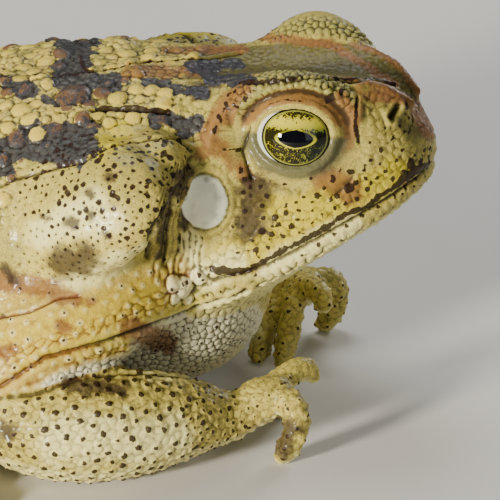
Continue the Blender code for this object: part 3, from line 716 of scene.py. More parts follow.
lift = relief(crest, CREST_RELIEF) * head * smooth(lid_ring, 1.3, 1.5)
lift += lips * relief(mouth, MOUTH_RELIEF)
lift += relief(drum, DRUM_RELIEF) - DRUM_DEPTH * smooth(-drum, -1.0, -0.55)
lift += relief(nostril, NOSTRIL_RELIEF)
lift += (1 - upper_lid) * relief(lid_ring, LOWER_LID_RELIEF)
lift += upper_lid * relief(lid_ring, UPPER_LID_RELIEF)
print("face shaped, lift from", round(lift.min(), 2), "to", round(lift.max(), 2), "mm")

# %% [markdown]
# ## Folds
# Skin that has to stretch when the toad leaps lies in folds when it sits: behind the jaw, over the
# shoulder and round the glands. Each fold is drawn where the photograph shows it, as a groove with a
# soft roll on either side.

# %% Fold the skin
FOLDS = (                      # depth and half width in millimetres, then pixels
    (1.0, 0.6, (-30, 402), (0, 387), (45, 358), (106, 342), (153, 324), (200, 305), (234, 296), (246, 290)),
    (0.5, 0.35, (0, 318), (30, 312), (60, 298), (78, 296)),
    (0.5, 0.8, (191, 155), (184, 178), (170, 205), (154, 228), (147, 256)),
    (0.6, 0.5, (190, 150), (175, 139), (159, 137), (107, 147), (86, 161), (60, 167), (16, 179), (-20, 196)),
    (0.5, 0.7, (170, 205), (166, 235), (165, 266)),
    (0.4, 0.4, (200, 268), (211, 279), (235, 276), (262, 268)),
    (0.8, 0.5, (85, 72), (110, 70), (135, 65), (150, 62), (210, 60), (240, 54)),
    (0.7, 0.5, (92, 112), (112, 110), (140, 111), (168, 113)),
    (0.6, 0.6, (-30, 402), (38, 394), (83, 377), (140, 374), (200, 380)),
    (0.5, 0.4, (240, 87), (262, 84), (279, 83), (308, 79), (349, 83), (373, 81), (394, 86)),
    (0.5, 0.4, (252, 178), (243, 150), (250, 128)), (0.35, 0.3, (357, 98), (356, 120), (359, 143)),
)
for depth, half, *line in FOLDS:
    away = near_line(spots, line, 4 * half + 2)
    lift += relief(away, ((0.0, -depth, half), (2.2 * half, 0.3 * depth, 1.2 * half)))
print("folded, lift from", round(lift.min(), 2), "to", round(lift.max(), 2), "mm")

# %% Pleat the neck
FAN = (192.0, 100.0)           # pixel from which the pleats of the neck spread
PLEAT = 2.3                    # degrees from one pleat to the next
PLEAT_HEIGHT = 0.17
UNSEEN_SHARE = 0.3             # the share of fine relief that the unseen side keeps

fan = np.degrees(np.arctan2(photo[:, 0] - FAN[0], photo[:, 1] - FAN[1]))
neck = patch((17, (180, 178), (170, 215), (167, 262)), (10, (196, 236), (192, 268)), ragged=0.2)
neck *= 1 - on_part("drum", 1.0)
pleats = np.cos(2 * math.pi * fan / PLEAT + 5.0 * clouds(spots, 4.0, 21))
lift += PLEAT_HEIGHT * neck * pleats * np.maximum(near, UNSEEN_SHARE)
print("pleats spread over", int((neck > 0.5).sum()), "points")

# %% [markdown]
# ## Dots of the face
# The face is peppered with black dots, each on a small swelling with a dimple. They are few enough to be
# placed one by one, where the photograph shows them.

# %% Dots of the face
FACE_DOTS = (                  # pixels across and down, then the radius in millimetres
    (333, 181, 0.45), (324, 188, 0.4), (337, 196, 0.45), (331, 200, 0.35), (304, 197, 0.4), (367, 189, 0.55),
    (370, 183, 0.45), (349, 188, 0.95), (318, 196, 0.55), (353, 172, 0.4), (340, 170, 0.3), (275, 218, 0.6),
    (286, 213, 0.45), (299, 210, 0.4), (272, 234, 0.6), (279, 224, 0.35), (243, 192, 0.4), (251, 196, 0.35),
    (245, 210, 0.45), (260, 186, 0.4), (270, 181, 0.3), (263, 218, 0.4), (381, 150, 0.4), (369, 143, 0.3),
    (370, 160, 0.35), (364, 170, 0.3), (380, 164, 0.3), (362, 157, 0.3), (236, 92, 0.4), (246, 99, 0.45),
    (228, 108, 0.35), (222, 122, 0.35), (214, 132, 0.4), (226, 140, 0.35), (239, 150, 0.4), (300, 232, 0.35),
    (311, 178, 0.25), (285, 184, 0.25), (330, 98, 0.9), (340, 92, 0.4), (420, 160, 0.6), (411, 168, 0.55),
    (424, 150, 0.4), (402, 172, 0.5), (392, 178, 0.4), (414, 156, 0.3), (230, 95, 0.4), (227, 104, 0.35),
    (235, 105, 0.3), (238, 107, 0.3), (223, 110, 0.35), (219, 117, 0.4), (217, 127, 0.35), (230, 132, 0.3),
    (225, 140, 0.35), (233, 145, 0.45), (240, 170, 0.6), (244, 179, 0.5), (350, 172, 0.55), (347, 188, 0.6),
    (317, 196, 0.6), (333, 177, 0.4), (396, 160, 0.3), (402, 150, 0.3), (178, 284, 0.3), (184, 281, 0.3),
    (174, 291, 0.25), (188, 289, 0.3), (199, 274, 0.3), (203, 278, 0.25), (410, 163, 0.9), (419, 166, 0.7),
    (404, 175, 0.8), (427, 156, 0.5), (429, 148, 0.4), (430, 130, 0.4), (426, 118, 0.4), (418, 106, 0.4),
    (410, 97, 0.4), (405, 108, 0.3), (399, 126, 0.3), (392, 138, 0.3), (385, 172, 0.35), (376, 178, 0.35),
    (366, 178, 0.35), (356, 182, 0.4), (262, 231, 0.7), (256, 250, 0.5), (262, 262, 0.6), (286, 205, 0.35),
    (296, 203, 0.3), (250, 187, 0.4), (267, 196, 0.5), (262, 206, 0.4), (302, 254, 0.3), (318, 244, 0.35),
    (334, 234, 0.3), (346, 226, 0.3), (362, 216, 0.35), (378, 206, 0.3), (394, 196, 0.35), (405, 188, 0.3),
    (416, 178, 0.35), (283, 198, 0.3), (296, 190, 0.3), (312, 203, 0.3), (408, 118, 0.3), (404, 132, 0.25),
    (420, 128, 0.3), (427, 140, 0.3), (291, 226, 0.55), (297, 219, 0.3), (283, 236, 0.35), (268, 247, 0.4),
    (322, 214, 0.3), (334, 208, 0.35), (345, 203, 0.3), (357, 199, 0.45), (312, 222, 0.3), (252, 240, 0.3),
    (238, 252, 0.35), (232, 226, 0.3),
)
DOT_SPREAD = 0.12              # millimetres added to each, as the net blurs the smallest ones
DOT_RELIEF = ((0.0, 0.2, 0.6), (0.0, -0.1, 0.2))   # a swelling with a dimple in it
OUTSIDE = 2.0                  # how deep below zero a black mark sinks outside its kind of skin


def off_dots(dots):
    """How far each point is from the nearest dot's middle, and how deep it lies in one, on both sides."""
    gap, depth = np.full(count, FAR), np.full(count, -OUTSIDE)
    for x, y, radius in dots:
        place = under_pixel(x, y)
        for dot in (place, mirrored(place)):
            away = np.linalg.norm(spots - np.array(dot) / MM, axis=1)
            gap, depth = np.minimum(gap, away), np.maximum(depth, radius + DOT_SPREAD - away)
    return gap, depth


dot_gap, in_dot = off_dots(FACE_DOTS)
lift += head * relief(dot_gap, DOT_RELIEF)
print(len(FACE_DOTS), "dots on each side of the face")

# %% [markdown]
# ## Warts, granules and pores
# Nothing on a toad's skin is evenly spaced, but nothing is heaped up either: each wart keeps its
# distance from the next. Throwing darts does the same. A dart is kept only where no other lies closer
# than the spacing. A granule's height then depends on how far a point is from the nearest dart, and the
# crease round it on the next nearest.

# %% Darts on the skin
DENSE_TRIES = 60000            # the most points that are tried as darts


def scattered(mask, spacing, seed):
    """Places at least that far apart in millimetres, among the points where mask is above a half."""
    order = np.random.default_rng(seed).permutation(np.flatnonzero(mask > 0.5))[:DENSE_TRIES]
    grid, chosen = {}, []
    around = [step for step in np.ndindex(3, 3, 3)]
    for place, cell in zip(spots[order], np.floor(spots[order] / spacing).astype(int)):
        x, y, z = cell
        others = [other for i, j, k in around for other in grid.get((x + i - 1, y + j - 1, z + k - 1), ())]
        if all(np.dot(place - other, place - other) >= spacing * spacing for other in others):
            grid.setdefault((x, y, z), []).append(place)
            chosen.append(place)
    return np.array(chosen)


def tree_over(middles):
    """A search tree that finds the nearest of several places."""
    tree = KDTree(len(middles))
    for index, place in enumerate(middles):
        tree.insert(place, index)
    tree.balance()
    return tree


def from_darts(darts, mask):
    """For each point the distances to the nearest and the next nearest dart, and which one is nearest."""
    tree = tree_over(darts)
    first, second, which = np.full(count, FAR), np.full(count, FAR), np.zeros(count, int)
    for index in np.flatnonzero(mask > 0.01):
        (_, which[index], first[index]), (_, _, second[index]) = tree.find_n(spots[index], 2)
    return first, second, which


def granules_over(mask, spacing, height, seed):
    """How high close-set granules lift the skin over a mask."""
    first, second, _ = from_darts(scattered(mask, spacing, seed), mask)
    crown = 1 - np.clip(first / (0.75 * spacing), 0, 1) ** 2
    crack = smooth(second - first, 0.0, 0.35 * spacing)
    return height * mask * (0.65 * crown * crack + 0.35 * crack)


def sized_darts(mask, spacing, seed, least, most):
    """Darts on a mask, the distance to the nearest one, and the size that chance gives it."""
    darts = scattered(mask, spacing, seed)
    gap, _, which = from_darts(darts, mask)
    return darts, gap, chance.uniform(least, most, len(darts))[which]


CHANCE_SEED = 5
chance = np.random.default_rng(CHANCE_SEED)
print("darts are tried on up to", DENSE_TRIES, "points")

# %% [markdown]
# ## Where each kind of skin lies
# The throat and chest are covered with even granules, the arms carry scattered spiny tubercles, the
# glands are smooth and full of pores, and the back is heaped with warts. Each zone is a soft mask, so
# that one kind of skin passes into the next.

# %% Zones
CHEST_PIXELS = (               # half width of a stroke, then its line, all in pixels, as in the next ones
    (30, (235, 322)), (34, (205, 345), (160, 352)), (22, (150, 366), (60, 392)),
    (20, (222, 310), (180, 330)),
)
FLANK_CREASES = ((20, (-20, 372), (80, 340), (165, 305), (205, 285)), (14, (60, 350), (190, 345)))
FLANK_PIXELS = (
    (30, (-30, 350), (60, 322), (150, 290)), (18, (165, 285), (195, 262)),
    (20, (-30, 385), (90, 362), (190, 356)), (18, (-20, 300), (40, 290), (90, 288)),
)
SLATE_PIXELS = (
    (5, (18, 37), (45, 36), (95, 44)), (15, (70, 50), (80, 53)), (8, (60, 66), (78, 68)),
    (9, (60, 80), (118, 82)), (10, (66, 97), (84, 96)), (6, (104, 90), (110, 86)), (5, (144, 83), (166, 85)),
    (6, (174, 92), (203, 93)), (6, (190, 67), (236, 66)), (6, (208, 80), (250, 82)), (8, (12, 88), (30, 90)),
    (9, (158, 119), (198, 123)), (6, (184, 132)), (9, (26, 132), (88, 129)),
    (15, (2, 152), (40, 147), (84, 148)), (8, (0, 168), (10, 172)), (5, (45, 101), (60, 104)),
)

# the two numbers that end each call of smooth say where a zone begins and where it is full
normals = outward(skin)
arm = np.maximum(on_part("forearm", 2.0), on_part("hand", 1.0))
gland = on_part("gland", 2.5)
torso = np.maximum(on_part("trunk", 2.0), on_part("shoulder", 2.0)) * (1 - gland)
facing_up = smooth(normals[:, 2], 0.15, 0.6)
chest = smooth(strokes(*CHEST_PIXELS), -0.1, 0.35) * (1 - on_part("forearm", 0.8)) * (1 - head)
flank = smooth(strokes(*FLANK_PIXELS), -0.1, 0.4) * torso * (1 - chest)
back = torso * (1 - flank) * (1 - chest) * smooth(high + 10 * facing_up, 44, 60)
belly = np.maximum(torso, on_part("jaw", 1.0)) * smooth(-normals[:, 2], -0.1, 0.4)
legs = np.maximum(on_part("leg", 2.0), on_part("foot", 1.0))
out_of_frame = smooth(-photo[:, 0], -8, 16)
rear = out_of_frame * np.maximum(torso * smooth(high, 22, 34), 0.85 * legs) * (1 - belly)
lid_pad = smooth(-eye_gap, -15, -13.5) * smooth(high, EYE_HIGH + 3, EYE_HIGH + 4.5)
lid_pad = lid_pad * smooth(lid_ring, 1.38, 1.46)
lid_pad *= smooth(crest, 0.5, 1.0) * smooth(out, 9.0, 10.5)
dish = head * facing_up * (1 - lid_pad) * smooth(-out, -9.5, -8.0)
zones = {"lid pad": lid_pad, "dish": dish, "gland": gland, "chest": chest, "flank": flank, "back": back}
print("points in zones:", {name: int((zone > 0.5).sum()) for name, zone in zones.items()})

# %% [markdown]
# ## Granules, creases, tubercles and pores
# Granules lie close together, so their darts are dense and each one ends where the next begins. The
# flank has slanting creases between stretched cells. A tubercle is a low cone with a horny tip, and a
# pore is a dent that oozes poison.

# %% Granules
GRANULES = {                   # spacing and height in millimetres, then the seed
    "chest": (1.35, 0.42, 31),
    "belly": (1.7, 0.3, 32),
    "lid pad": (1.15, 0.6, 33),
    "dish": (1.0, 0.16, 34),
    "arm": (1.35, 0.16, 36),
    "face": (1.5, 0.2, 37),
}

face = head * near * (1 - lid_pad) * (1 - dish) * smooth(crest, 0.8, 1.6) * smooth(lid_ring, 1.6, 1.9)
face *= smooth(drum, 1.25, 1.4)
covered = {
    "chest": chest * near, "belly": belly * (1 - chest) * near, "lid pad": lid_pad, "dish": dish * near,
    "arm": near * arm, "face": face,
}
grains = {name: granules_over(mask, *GRANULES[name]) for name, mask in covered.items()}
print("granules rise", {name: round(float(grain.max()), 2) for name, grain in grains.items()}, "mm")

# %% Creases and granules of the flank
CREASE_TILT = 0.5              # radians by which the creases slant in the photograph
CREASE_CELL = (10.5, 6.5)      # pixels along and across one cell between creases
CREASE_HEIGHT = 0.25
LEAST_CREASED = 0.25
FLANK_GRANULE = 2.3
FLANK_RELIEF = ((0.0, 0.3, 0.6),)

tilt = math.cos(CREASE_TILT), math.sin(CREASE_TILT)
along_rows = np.array([[tilt[0], tilt[1]], [-tilt[1], tilt[0]]])
turned = np.column_stack([photo @ along_rows / CREASE_CELL, np.full(count, 0.5)])
row_first, row_second = cells(turned, 1.0, 35)
creased = np.maximum(smooth(strokes(*FLANK_CREASES), 0.0, 0.5), LEAST_CREASED)
flank_lift = CREASE_HEIGHT * flank * creased * np.maximum(near, UNSEEN_SHARE)
flank_lift = flank_lift * smooth(row_second - row_first, 0.0, 0.4)
_, flank_gap, flank_size = sized_darts(flank * near, FLANK_GRANULE, 87, 0.0, 0.4)
flank_lift += flank * near * (relief(flank_gap, FLANK_RELIEF) + 0.1 * clouds(spots, 1.6, 38))
lift += (grains["chest"] + grains["belly"] + grains["lid pad"] + grains["dish"] + flank_lift + grains["arm"]
         + grains["face"])
print("flank rises", round(float(flank_lift.max()), 2), "mm")

# %% Tubercles of the arms
TUBERCLE = 2.35                # millimetres from one tubercle to the next
WRIST_TUBERCLE = 1.65
TUBERCLE_RELIEF = ((0.0, 0.34, 0.9), (0.0, 0.2, 0.4))
WRIST_PIXELS = (30, (205, 424), (228, 402), (262, 398))
SMOOTH_FINGER = (12, (256, 380), (275, 368), (297, 360), (311, 373))

wrist = smooth(strokes(WRIST_PIXELS), 0.0, 0.3) * arm * near
spiny = arm * near * (1 - smooth(strokes(SMOOTH_FINGER), 0.0, 0.4))
tubercles = np.concatenate([scattered(spiny * (wrist < 0.5), TUBERCLE, 41),
                            scattered(spiny * (wrist > 0.5), WRIST_TUBERCLE, 45)])
tubercle_gap, _, tubercle_which = from_darts(tubercles, spiny)
tubercle_size = chance.uniform(0.7, 1.25, len(tubercles))[tubercle_which] * (1 - 0.25 * wrist)
lift += spiny * relief(tubercle_gap, TUBERCLE_RELIEF) * (1 - 0.3 * wrist)
print(len(tubercles), "tubercles")

# %% Pores of the glands
PORE = 1.4                     # millimetres from one pore to the next
PORE_RELIEF = ((0.0, -0.3, 0.36),)

pore_places, pore_gap, pore_size = sized_darts(gland * near, PORE, 42, 0.0, 1.0)
pore_size = pore_size ** 1.3
pore_dent = relief(pore_gap, PORE_RELIEF) * (0.3 + 0.7 * pore_size)
lift += gland * near * (pore_dent + 0.25 * clouds(spots, 5.0, 43) + 0.17 * clouds(spots, 1.8, 44))
print(len(pore_places), "pores")

# %% [markdown]
# ## Warts of the back
# The largest warts are placed where the photograph shows them, each a low dome with a crease round its
# foot. Smaller ones fill the back, the thighs and the side that the photograph doesn't show. Behind the
# mouth's corner lie a few pearly tubercles, which are made in the same way.

# %% Heap up the warts
BIG_WARTS = (                  # pixels across and down, then the radius and height in millimetres
    (73, 97, 3.6, 1.7), (117, 99, 2.1, 1.0), (137, 90, 1.7, 0.8), (151, 90, 1.6, 0.7), (166, 94, 1.6, 0.8),
    (163, 104, 1.8, 0.8), (89, 105, 1.6, 0.6), (17, 139, 2.1, 0.9), (56, 130, 2.1, 0.9), (46, 148, 1.6, 0.6),
    (69, 152, 1.7, 0.6), (92, 132, 2.3, 0.9), (22, 110, 2.2, 0.9), (30, 120, 2.1, 0.7), (161, 123, 2.0, 0.7),
    (193, 124, 1.4, 0.6), (24, 161, 1.7, 0.6), (83, 119, 1.9, 0.6), (96, 114, 1.7, 0.6), (6, 105, 1.5, 0.5),
    (8, 93, 1.8, 0.8), (24, 68, 1.7, 0.6), (30, 57, 1.6, 0.6), (40, 52, 1.7, 0.6), (46, 62, 1.9, 0.7),
    (34, 72, 1.6, 0.5), (6, 81, 1.6, 0.6), (19, 80, 1.7, 0.6), (48, 84, 1.5, 0.5), (16, 33, 1.2, 0.9),
    (34, 31, 1.6, 0.9), (70, 33, 1.0, 0.8), (82, 37, 0.9, 0.7), (95, 41, 0.9, 0.6), (100, 64, 1.4, 0.5),
    (112, 58, 1.4, 0.5), (125, 60, 1.3, 0.5), (110, 68, 1.3, 0.4), (68, 108, 1.5, 0.5), (52, 112, 1.5, 0.5),
    (108, 84, 1.5, 0.6), (124, 82, 1.3, 0.5), (60, 120, 1.6, 0.5), (8, 128, 1.6, 0.6), (36, 104, 1.5, 0.5),
)
PEARLS = (                     # the same
    (173, 284, 2.0, 1.0), (182, 287, 2.5, 1.3), (175, 297, 1.8, 0.7), (199, 276, 2.0, 0.9),
    (188, 299, 1.2, 0.4),
)
FEW_WARTS = 4.6                # millimetres between the warts that chance sets
WART_ROOM = 1.6                # millimetres that chance leaves free round a drawn wart
STEEPNESS = 0.38               # height of a wart set by chance, as a share of its radius
FOOT = 0.22                    # depth of the crease round a wart
KNOB = (1.5, 0.3, 52)          # spacing and height of the knobs between warts, then the seed


def heap(middles, radii, heights, mask):
    """Domes over given places, each with a crease round its foot."""
    tree = tree_over(middles)
    raised, foot = np.zeros(count), np.zeros(count)
    uneven = 1 + 0.22 * clouds(spots, 2.4, 54)
    for index in np.flatnonzero(mask > 0.01):
        for _, which, away in tree.find_n(spots[index], 3):
            share = away / radii[which] * uneven[index]
            if share < 1.5:
                raised[index] = max(raised[index], heights[which] * max(0.0, 1 - share * share) ** 0.75)
                foot[index] = max(foot[index], math.exp(-(((share - 1.06) / 0.16) ** 2)))
    return mask * (raised - FOOT * foot * (raised < 0.05))


def drawn_domes(rows):
    """The places, radii and heights of domes that are drawn in the photograph."""
    middles = [np.array(under_pixel(x, y)) / MM for x, y, _, _ in rows]
    return middles, *np.array([(radius, height) for _, _, radius, height in rows]).T


drawn_warts, drawn_radii, drawn_heights = drawn_domes(BIG_WARTS)
skin_for_warts = np.maximum(back, on_part("leg", 2.0) * smooth(normals[:, 2], -0.1, 0.3))
open_skin = skin_for_warts.copy()
for place, radius in zip(drawn_warts, drawn_radii):
    open_skin[np.linalg.norm(spots - place, axis=1) < radius + WART_ROOM] = 0
more = scattered(open_skin, FEW_WARTS, 51)
sizes = chance.uniform(1.0, 2.1, len(more))
wart_places = np.concatenate([drawn_warts, more])
wart_radii = np.concatenate([drawn_radii, sizes])
wart_heights = np.concatenate([drawn_heights, STEEPNESS * sizes])
wart_lift = heap(wart_places, wart_radii, wart_heights, skin_for_warts)
knobs = granules_over(np.maximum(back, strokes(*SLATE_PIXELS) > 0) * near, *KNOB)
lift += wart_lift + knobs * (1 - smooth(wart_lift, 0.1, 0.4))
lift += back * (0.35 * clouds(spots, 6.0, 53) + 0.12 * clouds(spots, 2.2, 55))
pearl_lift = heap(*drawn_domes(PEARLS), near)
lift += pearl_lift
print(len(wart_places), "warts")

# %% [markdown]
# ## Move the skin and measure its hollows
# Every height is added up and each point moves along its own normal. The dents that this leaves are kept
# as a number too, because the material paints shade into them.

# %% Set the relief
FLOOR_GAP = 0.05 * MM          # the belly rests on the floor and doesn't sink into it
HOLLOW_ROUNDS = 10             # a hollow lies lower than its surroundings averaged so often
FULL_HOLLOW = 0.22             # millimetres

lift += (0.05 + 0.06 * head) * clouds(spots, 0.9, 61) * near + 0.06 * clouds(spots, 2.2, 62)
settled = start_places + normals * lift[:, None] * MM
settled[:, 2] = np.maximum(settled[:, 2], FLOOR_GAP)
put(skin, settled)
hollow = np.clip((spread(lift, HOLLOW_ROUNDS) - lift) / FULL_HOLLOW, 0, 1)
print("relief from", round(lift.min(), 2), "to", round(lift.max(), 2), "mm")

# %% [markdown]
# ## Pigment
# To the eye a toad's colour lies in layers: cream below, yellow and rust in patches over it, then slate
# and brown, and last the black of dots and lines. Some layers are painted light and shade: shade in the
# hollows and folds and in the dish between the eyes, light on the gland's low side, and black lines of
# shadow along crests and folds. Each layer is one number per point. The dots and lines are kept as a
# distance in millimetres, positive inside, so that the material can cut their edges sharply however
# wide the net's triangles are.

# %% Yellow, rust and slate
SUN = (                        # half width of a stroke, then its line, all in pixels, as in the next ones
    (13, (222, 258), (262, 245), (300, 222), (345, 200), (395, 170)),
    (22, (20, 345), (100, 318), (180, 292)), (12, (262, 205), (300, 208), (335, 188)),
    (12, (120, 130), (100, 150)), (9, (22, 24), (40, 30)), (10, (130, 25), (210, 28)),
)
RUST = (
    (10, (0, 282), (55, 290)), (7, (60, 298), (76, 300)), (6, (130, 72), (165, 70)),
    (8, (240, 90), (232, 104), (227, 118)), (6, (341, 96), (350, 108), (350, 130), (347, 146)),
    (6, (368, 96), (400, 98)), (8, (415, 108), (428, 132)), (13, (322, 178), (352, 192)),
    (9, (246, 87), (230, 100), (214, 124), (206, 140), (222, 146)),
    (7, (201, 154), (217, 149), (228, 152), (238, 167), (249, 178)), (9, (248, 118)), (5, (90, 302)),
    (6, (60, 325), (66, 328)), (7, (0, 352), (12, 350)), (12, (130, 328), (168, 342)), (4, (405, 182)),
    (5, (125, 76), (205, 72)), (4, (165, 51), (245, 50)), (4, (262, 38), (330, 44), (395, 85)),
)
BARK = (
    (7, (284, 452), (289, 440)), (17, (250, 196), (256, 188), (250, 226)), (5, (108, 176), (112, 178)),
    (5, (186, 210), (184, 226)), (4, (88, 192), (92, 196)), (6, (70, 222), (74, 224)),
    (4, (105, 232), (108, 236)), (4, (42, 216), (46, 218)), (9, (262, 186)),
    (5, (172, 190), (163, 225), (160, 255)), (15, (62, 262), (84, 260)), (10, (8, 430)),
    (6, (4, 268), (16, 280)), (4, (3, 318)), (9, (196, 92), (214, 82)), (9, (70, 385), (120, 390)),
    (9, (292, 427), (281, 446)), (5, (92, 217)), (8, (186, 172), (176, 192)),
)
# pale patches of the skin; on the gland's low side, the stroke from (118, 262) to (60, 292), the pale is
# also painted light
MILK = (
    (13, (70, 225), (112, 222)), (12, (118, 262), (60, 292)), (10, (193, 236), (191, 264)), (26, (235, 322)),
    (30, (205, 345), (165, 350)), (14, (180, 290)), (15, (196, 278), (232, 262)), (14, (40, 235), (95, 200)),
    (12, (270, 268), (350, 225)), (24, (60, 440), (170, 440)),
)

sun = patch(*SUN, soft=0.8, seed=71)
rust = patch(*RUST, soft=0.7, size=1.2, seed=72)
rust = np.maximum(rust, 0.8 * smooth(-crest + 0.5 * clouds(spots, 2.0, 73), -2.0, -0.7) * head)
slate = patch(*SLATE_PIXELS, size=2.2, ragged=0.9, seed=74)
rear_clouds = clouds(spots, 8.0, 77) + 0.45 * clouds(spots, 2.2, 78, 3)
slate = np.maximum(slate, rear * smooth(rear_clouds, 0.08, 0.3))
bark = patch(*BARK, size=1.4, ragged=0.7, soft=0.85, seed=75)
bark = np.maximum(bark, out_of_frame * legs * (1 - belly) * smooth(clouds(spots, 6.0, 79, 3), 0.1, 0.5))
milk = np.maximum(patch(*MILK, soft=0.9, seed=76), smooth(-normals[:, 2], 0.2, 0.7))
print("sun", int((sun > 0.5).sum()), "rust", int((rust > 0.5).sum()), "bark", int((bark > 0.5).sum()))

# %% Pale warts and dark ones
TONE_BY_CHANCE = 0.28          # the rest of a wart's tone comes from the slate that it sits in

tones = chance.uniform(0, 1, len(wart_places))
tone_tree = tree_over(wart_places)
for index, place in enumerate(wart_places):
    slaty = slate[np.argmin(((spots - place) ** 2).sum(axis=1))]
    tones[index] = TONE_BY_CHANCE * tones[index] + (1 - TONE_BY_CHANCE) * smooth(slaty, 0.3, 0.7)
tone = np.zeros(count)
for index in np.flatnonzero(wart_lift > 0.05):
    tone[index] = tones[tone_tree.find(spots[index])[1]]
slate = slate * (1 - smooth(wart_lift, 0.15, 0.45) * np.where(tone > 0.5, 0.5, 0.9))
print(int((tones > 0.5).sum()), "dark warts of", len(tones))

# %% [markdown]
# ## The black
# Every black mark is drawn by its depth: how far a point lies inside it in millimetres. Lines, dots,
# pores and the horny tips of tubercles each give such a number, and the greatest of them counts. The
# black lines along the brow crest, in front of the eye, along two folds of the back and in the folds of
# the neck are painted shadow.

# %% Black lines and painted shadow lines
LIP_STRIPE = (
    (251, 269), (267, 259), (286, 248), (308, 237), (322, 229), (343, 215), (365, 207), (378, 196),
    (397, 183), (413, 172),
)
LIP_BLOTCH = ((404, 178), (413, 172), (426, 165))
CORNER_BLOTCH = ((214, 268), (230, 272), (249, 270))
# the lines along the brow crest, in front of the eye and along the back's two folds are painted shadow
BLACK_AND_SHADOW_LINES = (                # half width in millimetres, then pixels
    (0.35, (279, 81), (308, 77), (349, 81), (373, 79), (394, 84)), (0.45, (240, 85), (262, 83), (279, 81)),
    (0.4, (356, 97), (355, 118), (358, 143)), (0.3, (404, 103), (411, 112), (413, 122), (409, 132)),
    (0.1, (243, 117), (262, 107), (286, 101), (311, 102), (330, 108)),
    (0.6, (98, 110), (132, 109), (168, 113)), (0.5, (85, 72), (110, 70), (135, 65), (150, 62), (210, 60)),
    (0.5, (0, 35), (26, 36), (60, 40), (95, 44)),
)
# painted shadow along the folds and wrinkles of the neck, darkest in the groove at the gland's front edge
NECK_FOLD_SHADOWS = (                 # the same
    (0.45, (187, 164), (178, 184), (163, 208), (149, 232), (146, 254)),
    (0.15, (168, 213), (166, 240), (165, 266)), (0.1, (178, 196), (180, 230), (178, 262)),
    (0.2, (190, 150), (182, 141), (172, 138)),
)


def inside_lines(lines, wobble, size, seed):
    """How deep each point lies inside ragged lines, in millimetres."""
    rough = wobble * clouds(spots, size, seed, 3)
    best = np.full(count, -OUTSIDE)
    for half, *line in lines:
        best = np.maximum(best, half - near_line(spots, line, half + OUTSIDE))
    return best + rough


lip_marks = ((0.6, *LIP_STRIPE), (0.9, *LIP_BLOTCH), (0.85, *CORNER_BLOTCH))
black_marks = [
    in_dot + 0.12 * clouds(spots, 0.9, 81), inside_lines(BLACK_AND_SHADOW_LINES, 0.35, 1.3, 82),
    inside_lines(lip_marks, 0.75, 0.9, 83), inside_lines(NECK_FOLD_SHADOWS, 0.55, 1.6, 84) - 0.1,
]
print(len(BLACK_AND_SHADOW_LINES) + len(lip_marks) + len(NECK_FOLD_SHADOWS), "black lines")

# %% Black dots, pores and tips
FACE_SPECK = 2.2               # millimetres from one small speck of the face to the next


def on_skin(depth, mask):
    """The depth of marks that belong to one kind of skin and sink away outside it."""
    return depth - OUTSIDE * (1 - mask)


pore_dot = (0.12 + 0.62 * pore_size) * (0.42 + 0.7 * smooth(high, 40, 60)) - 0.05
pore_depth = pore_dot - pore_gap * (1 + 0.5 * clouds(spots, 0.8, 85))
tip = (0.6 - 0.25 * on_part("hand", 1.0)) * tubercle_size - tubercle_gap * (1 + 0.3 * clouds(spots, 0.8, 86))
chest_spacing, _, chest_seed = GRANULES["chest"]
chest_dots = scattered(chest * near, chest_spacing, chest_seed)
chest_gap, _, chest_which = from_darts(chest_dots, chest * near)
chest_size = np.clip(chance.normal(0.12, 0.16, len(chest_dots)), -1, 0.4)[chest_which]
_, speck_gap, speck_size = sized_darts(face, FACE_SPECK, 88, -0.1, 0.42)
black_marks += [
    gland * near * pore_depth - (1 - gland * near), on_skin(tip, spiny),
    on_skin(chest_size - chest_gap, chest * near), on_skin(flank_size - flank_gap, flank * near),
    on_skin(speck_size - speck_gap, face),
]
black_and_shadow_depth = np.max(black_marks, axis=0)
print("black:", int((black_and_shadow_depth > 0).sum()), "points, in view", int((near > 0.5).sum()))

# %% [markdown]
# ## Store the pigments and thin the net
# The pigments are stored on the points, and then the net is thinned, because a skin of half a million
# triangles is more than a renderer or a printer needs. Flat places lose the most. The side in view keeps
# the finer net.

# %% Store the pigments
gland_top = gland * smooth(high, 48, 64)
drum_face = smooth(-drum, -1.03, -0.86)
unseen = (1 - near) * (1 - drum_face)
lid_band = smooth(lid_ring, 1.04, 1.12) * smooth(-lid_ring, -1.46, -1.38) * smooth(lid_up, 0.2, 0.6)
swollen = smooth(wart_lift, 0.08, 0.35) * np.maximum(back, legs)
PIGMENTS_AND_SHADE = {
    "olive": np.max([0.5 * smooth(clouds(spots, 7.0, 91), 0.0, 0.8), 0.3 * head, 0.4 * gland_top], axis=0),
    # the dish between the eyes: its own olive, darkened further by painted shade
    "dish": dish,
    "sun": sun,
    "milk": milk,
    "flank": flank,
    "pale_wart": swollen * smooth(-tone, -0.62, -0.5),
    "dark_wart": swollen * smooth(tone, 0.5, 0.62),
    "pad": lid_pad,
    "rust": np.maximum(rust, lid_band),
    "bark": bark,
    "slate": slate,
    "low_lid": smooth(-lid_ring, -1.5, -1.25) * smooth(-lid_up, -0.2, 0.1),
    "chest": chest,
    "flank_tip": flank * near * smooth(flank_size - flank_gap, -0.6, -0.2),
    "smudge": drum_face * smooth(clouds(spots, 1.3, 92), -0.1, 0.7),
    # painted shade in the flank's hollows, tinted rust
    "fold_shade_rust": flank * hollow,
    # painted shade: dark brown in every hollow of the relief, less on the eardrum and on the flank
    "groove": hollow ** 0.8 * (1 - 0.85 * drum_face) * (1 - 0.45 * flank),
    "drum_face": drum_face,
    "pearl": smooth(pearl_lift, 0.05, 0.4),
    "black_and_shadow_depth": np.clip(black_and_shadow_depth, -1, 1),
    "unseen": unseen,
    "spiny": unseen * np.maximum(arm, gland),
}
